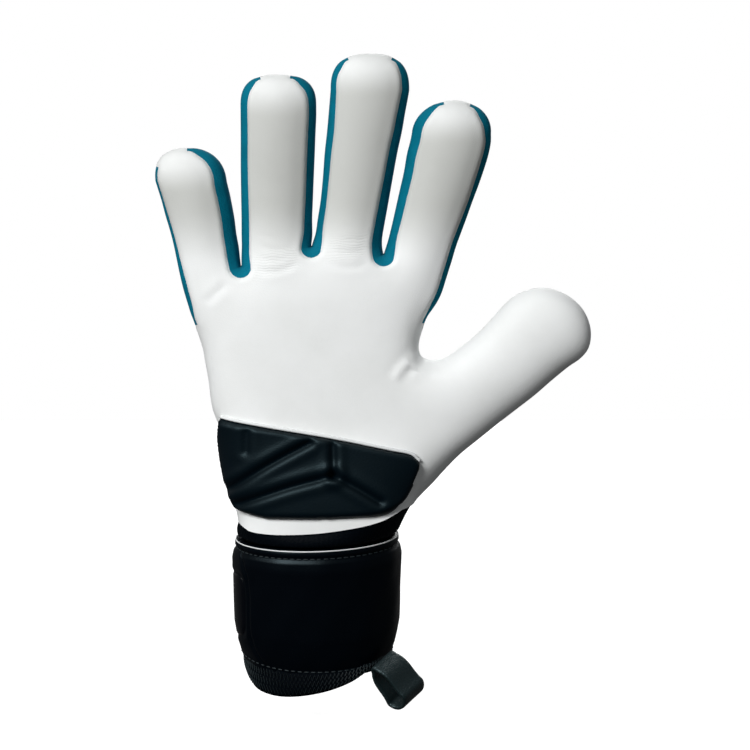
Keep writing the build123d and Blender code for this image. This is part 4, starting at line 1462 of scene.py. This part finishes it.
def strap_skin(angle, below):
    """A point of the strap's skin: its face with the badge, the seam, its rounded ends and a soft ripple."""
    deep = badge_depth(*strap_face(angle, below)) + panel_seam(angle, below)
    deep += end_rounding(angle, STRAP_SPAN, *STRAP_END_ROUNDING)
    turn, down = STRAP_WAVES_ROUND
    ripple = STRAP_RIPPLE * math.sin(angle * turn + below * down) * math.sin(below * STRAP_WAVES_DOWN)
    return strap_face(angle, below, ripple - deep)


def strap_inside(angle, below):
    """A point of the strap's inner face."""
    x, y, z = cuff_place(angle, below, STRAP_INNER)
    return x, y, z - STRAP_INNER_DROP


def strap_stitches(below):
    """A row of short stitches along the strap."""
    run = np.linspace(STRAP_SPAN[0] + STITCH_INSIDE, STRAP_SPAN[1] - STITCH_INSIDE, STITCH_POINTS)
    path = np.array([strap_face(a, below, STITCH_OUT) for a in run])
    way = along(path)
    stitches = []
    for start in np.arange(STITCH_FREE[0], way[-1] - STITCH_FREE[1], STITCH_EVERY):
        pick = path[(way >= start) & (way <= start + STITCH_LENGTH)]
        stitches.append(tube(pick[::max(1, len(pick) // 4)], STITCH_RADIUS, THREAD_SIDES))
    return stitches


def badge_plate():
    """The bare badge's plate, rounded off at its edges and sunk into the strap's skin."""
    columns, rows = BADGE_PLATE_GRID
    out, into = [], []
    for u in np.linspace(-1, 1, columns):
        for v in np.linspace(-1, 1, rows):
            across, up = rounded_square(u, v)
            y = BADGE_MIDDLE[0] + BADGE_HALF[0] * BADGE_PLATE[0] * across
            z = BADGE_MIDDLE[1] + BADGE_HALF[1] * BADGE_PLATE[1] * up
            edge = max(0.0, (max(abs(u), abs(v)) - BADGE_BEVEL_FROM) / (1 - BADGE_BEVEL_FROM))
            out.append(strap_side(y, z, BADGE_PLATE_OUT - BADGE_BEVEL * edge))
            into.append(strap_side(y, z, -BADGE_SUNK - BADGE_PLATE_IN))
    faces = []
    for i in range(columns - 1):
        for j in range(rows - 1):
            faces.append((i * rows + j, i * rows + j + 1, (i + 1) * rows + j + 1, (i + 1) * rows + j))
    return shelled(np.array(out), np.array(into), faces)


def flap_place(angle, row, under=False):
    """A point of the strap's closing flap, on its outer face or under it."""
    below, offset = FLAP_ROWS[row]
    offset = max(FLAP_LEAST, offset - end_rounding(angle, FLAP_SPAN, *FLAP_END_ROUNDING))
    return cuff_place(angle, below, FLAP_UNDER if under else offset)


def tape_shell(low, high):
    """A tape round the wrist between two offsets, thinner along its upper and lower edges."""
    last = len(TAPE_ROWS) - 1

    def outer(angle, row):
        """A point of the tape's outer face."""
        return cuff_place(angle, TAPE_ROWS[row], high - (TAPE_ROUNDING if row in (0, last) else 0.0))

    return grid_shell(
        PATCH_SPAN, TAPE_COLUMNS, last + 1, outer, lambda a, r: cuff_place(a, TAPE_ROWS[r], low))


class GLOVE_OT_strap(bpy.types.Operator):
    """Build the padded wrist strap, its piping, badge, stitching and closing end"""
    bl_idname = "glove.strap"
    bl_label = "Wrist Strap"

    def execute(self, context):
        rows = strap_rows()
        verts, faces = grid_shell(
            STRAP_SPAN, STRAP_COLUMNS, len(rows),
            lambda a, r: strap_skin(a, rows[r]), lambda a, r: strap_inside(a, rows[r]))
        solids = ("strap_skin", "strap_foam")
        obj = made("strap_padded_skin", verts, faces, strap_finish(), "hand", solids)
        first, last = STRAP_SPAN[0] + STRAP_PIPING_INSIDE, STRAP_SPAN[1] - STRAP_PIPING_INSIDE
        angles = np.linspace(first, last, STRAP_PIPING_POINTS)
        path = [strap_face(a, STRAP_PIPING_BELOW, STRAP_PIPING_OUT) for a in angles]
        verts, faces = tube(path, STRAP_PIPING_RADIUS, PIPING_SIDES)
        made("strap_top_piping", verts, faces, piping_finish(), "hand", ("strap_piping",))
        verts, faces = joined([stitch for below in STRAP_STITCH_ROWS for stitch in strap_stitches(below)])
        made("strap_stitching", verts, faces, thread_finish())
        verts, faces = badge_plate()
        made("strap_badge_plate", verts, faces, badge_finish(), "hand", ("strap_badge",))
        verts, faces = grid_shell(
            FLAP_SPAN, FLAP_COLUMNS, len(FLAP_ROWS), flap_place, lambda a, r: flap_place(a, r, True))
        solids = ("flap_skin", "flap_foam")
        obj = made("strap_end_flap", verts, faces, strap_finish(), "strap_end", solids)
        for name, solid, low, high, body in TAPES:
            verts, faces = tape_shell(low, high)
            made(name, verts, faces, tape_finish(), body, (solid,))
        return {"FINISHED"}


# ---------------------------------------------------------------------------
# Pull tab
# ---------------------------------------------------------------------------

def tab_loop(inset):
    """The tab's loop seen from its edge: two round ends joined by bowed sides, this far inside its face."""
    far = TAB_LENGTH - TAB_END - TAB_ROOT
    lean = math.asin((TAB_END - TAB_ROOT) / far)
    root = np.linspace(math.pi - lean, 2 * math.pi + lean, TAB_ROOT_POINTS)
    end = np.linspace(lean, math.pi - lean, TAB_END_POINTS)
    root_size, end_size = TAB_ROOT - inset, TAB_END - inset
    a = np.column_stack([root_size * np.cos(root), TAB_ROOT + root_size * np.sin(root)])
    b = np.column_stack([end_size * np.cos(end), TAB_LENGTH - TAB_END + end_size * np.sin(end)])
    whole = evened(np.vstack([a, b, a[:1]]), TAB_STEP)[:-1]
    t = np.clip((whole[:, 1] - TAB_ROOT) / far, 0, 1)
    # 6.75 makes the bow's peak, a third of the way along, equal to TAB_BOW
    whole[:, 0] += np.sign(whole[:, 0]) * TAB_BOW * 6.75 * t * (1 - t) ** 2
    return whole


def webbing_section():
    """The webbing's flat section, as (across, out), with rounded edges."""
    half, thin = TAB_WIDTH / 2, TAB_TAPE / 2
    face = np.linspace(TAB_FLAT - half, half - TAB_FLAT, TAB_FACE_POINTS)
    edge, round_off = half - TAB_EDGE, thin * TAB_EDGE_THICK
    return [
        (-half, 0.0), (-edge, round_off), *((x, thin) for x in face),
        (edge, round_off), (half, 0.0), (edge, -round_off), *((x, -thin) for x in face[::-1]),
        (-edge, -round_off),
    ]


def tab_webbing():
    """The tab's webbing, bent round its loop and turned into its place."""
    lean = Matrix.Rotation(math.radians(TAB_LEAN), 4, "Y")
    turn = Matrix.Rotation(math.radians(TAB_TURN), 4, "Z")
    place = Matrix.Translation(Vector(TAB_FOOT)) @ lean @ turn
    middle, section = tab_loop(TAB_TAPE / 2), webbing_section()
    ahead = np.roll(middle, -1, 0) - np.roll(middle, 1, 0)
    ahead /= np.linalg.norm(ahead, axis=1)[:, None]
    side = np.column_stack([ahead[:, 1], -ahead[:, 0]])
    verts = []
    for point, outward in zip(middle, side):
        for x, out in section:
            u, v = point + outward * out
            verts.append(tuple(place @ Vector((x, u, v + TAB_START))))
    verts, faces = np.array(verts), ring_faces(len(middle), len(section), True)
    if signed_volume(verts, faces) < 0:
        faces = [f[::-1] for f in faces]
    return verts, faces


def tail_place(angle, row, wall=0.0):
    """A point of the tab's tail, sewn in under the strap's lower edge."""
    above, offset = TAIL_ROWS[row]
    x, y = oval(angle, CUFF_HALF, offset - wall)
    return x, y, ring_height(STRAP_FOOT, x, y) + above


class GLOVE_OT_tab(bpy.types.Operator):
    """Build the webbing pull tab and its sewn-in tail"""
    bl_idname = "glove.tab"
    bl_label = "Pull Tab"

    def execute(self, context):
        verts, faces = tab_webbing()
        made("webbing_pull_tab", verts, faces, webbing_finish(), "tab_loop", ("pull_tab",))
        verts, faces = grid_shell(
            TAIL_SPAN, TAIL_COLUMNS, len(TAIL_ROWS), tail_place, lambda a, r: tail_place(a, r, TAIL_WALL))
        made("pull_tab_tail", verts, faces, webbing_finish(), "hand", ("tab_tail",))
        return {"FINISHED"}


# ---------------------------------------------------------------------------
# Stage
# ---------------------------------------------------------------------------

FLOOR_HEIGHT, FLOOR_SIZE = -0.0085, 2.4
# Lamps: name, place, size, power, and whether each lights colours and whether it shows in gloss
LAMPS = (
    ("key", (-1.11, -1.87, 1.12), 0.8, 58.0, True, False),
    ("highlight", (-0.95, -1.0, 2.05), 0.9, 110.0, False, True),
    ("rear", (0.4, 1.6, 1.1), 1.2, 24.0, True, True),
)
LAMP_TARGET = Vector((0.02, 0, 0.14))
CAMERA_TARGET = Vector((0.0245, 0, 0.1385))
# How much of the stage the picture's width shows at the target, in metres, and the sensor in millimetres
PICTURE_WIDTH, SENSOR_WIDTH = 0.3225, 36.0


def floor_finish():
    """A floor that looks white to the camera and throws little light on the glove."""
    white = bpy.data.materials.new("Studio White")
    white.use_nodes = True
    tree = white.node_tree
    shader = tree.nodes["Principled BSDF"].inputs
    shader["Roughness"].default_value = 0.9
    shader["Emission Color"].default_value = (1, 1, 1, 1)
    seen = add(tree, "LightPath").outputs["Is Camera Ray"]
    shades = {"Factor": seen, "A": (0.05, 0.05, 0.05, 1), "B": (0.4, 0.4, 0.4, 1)}
    tree.links.new(add(tree, "Mix", shades, data_type="RGBA").outputs["Result"], shader["Base Color"])
    tree.links.new(maths(tree, "MULTIPLY", seen, 0.8), shader["Emission Strength"])
    return white


def light_world(scene):
    """A soft even light, and plain white behind everything that the camera sees."""
    scene.world = scene.world or bpy.data.worlds.new("World")
    scene.world.use_nodes = True
    tree = scene.world.node_tree
    tree.nodes.clear()
    soft = add(tree, "Background", {"Color": (0.97, 0.985, 1.0, 1), "Strength": 0.2}).outputs[0]
    plain = add(tree, "Background", {"Color": (1, 1, 1, 1)}).outputs[0]
    seen = add(tree, "LightPath").outputs["Is Camera Ray"]
    mix = add(tree, "MixShader", {"Fac": seen, 1: soft, 2: plain}).outputs[0]
    add(tree, "OutputWorld", {"Surface": mix})


class GLOVE_OT_stage(bpy.types.Operator):
    """Add the floor, the plain studio light and the camera"""
    bl_idname = "glove.stage"
    bl_label = "Stage"

    def execute(self, context):
        scene = context.scene
        scene.view_settings.view_transform = "Standard"
        bpy.ops.object.select_all(action="DESELECT")
        bpy.ops.mesh.primitive_plane_add(size=FLOOR_SIZE, location=(0, 0.1, FLOOR_HEIGHT))
        floor = context.object
        floor.name = "studio_floor"
        floor.data.materials.append(floor_finish())
        light_world(scene)
        for name, place, size, power, lights_colour, shows_in_gloss in LAMPS:
            lamp = bpy.data.lights.new(name, "AREA")
            lamp.energy, lamp.size = power, size
            holder = bpy.data.objects.new(name, lamp)
            holder.location = place
            holder.rotation_euler = (LAMP_TARGET - Vector(place)).to_track_quat("-Z", "Y").to_euler()
            holder.visible_diffuse, holder.visible_glossy = lights_colour, shows_in_gloss
            scene.collection.objects.link(holder)
        distance, tilt = scene.glove_stage.distance, scene.glove_stage.elevation
        lens = bpy.data.cameras.new("camera")
        lens.sensor_width = SENSOR_WIDTH
        lens.lens = SENSOR_WIDTH * distance / PICTURE_WIDTH
        camera = bpy.data.objects.new("camera", lens)
        camera.location = CAMERA_TARGET + distance * Vector((0, -math.cos(tilt), math.sin(tilt)))
        camera.rotation_euler = (math.pi / 2 - tilt, 0, 0)
        scene.collection.objects.link(camera)
        scene.camera = camera
        return {"FINISHED"}


class GLOVE_PT_panel(bpy.types.Panel):
    """Lists the steps that build the glove"""
    bl_idname = "GLOVE_PT_panel"
    bl_label = "Goalkeeper Glove"
    bl_space_type = "VIEW_3D"
    bl_region_type = "UI"
    bl_category = "Glove"

    def draw(self, context):
        for settings in (context.scene.glove_hand, context.scene.glove_cuff, context.scene.glove_stage):
            box = self.layout.box()
            for name in settings.__annotations__:
                box.prop(settings, name)
        for step in STEPS:
            self.layout.operator(step.bl_idname)


STEPS = (GLOVE_OT_hand, GLOVE_OT_pads, GLOVE_OT_cuff, GLOVE_OT_strap, GLOVE_OT_tab, GLOVE_OT_stage)
SETTINGS = (
    ("glove_hand", GloveHandSettings),
    ("glove_cuff", GloveCuffSettings),
    ("glove_stage", GloveStageSettings),
)


def register():
    """Registers the settings, the steps and the panel."""
    for name, settings in SETTINGS:
        bpy.utils.register_class(settings)
        setattr(bpy.types.Scene, name, PointerProperty(type=settings))
    for item in (*STEPS, GLOVE_PT_panel):
        bpy.utils.register_class(item)


def unregister():
    """Takes the panel, the steps and the settings away again."""
    for item in (GLOVE_PT_panel, *reversed(STEPS)):
        bpy.utils.unregister_class(item)
    for name, settings in reversed(SETTINGS):
        delattr(bpy.types.Scene, name)
        bpy.utils.unregister_class(settings)


def main():
    """Builds the whole glove and its stage."""
    register()
    bpy.ops.glove.hand()
    bpy.ops.glove.pads()
    bpy.ops.glove.cuff()
    bpy.ops.glove.strap()
    bpy.ops.glove.tab()
    bpy.ops.glove.stage()


if __name__ == "__main__":
    main()
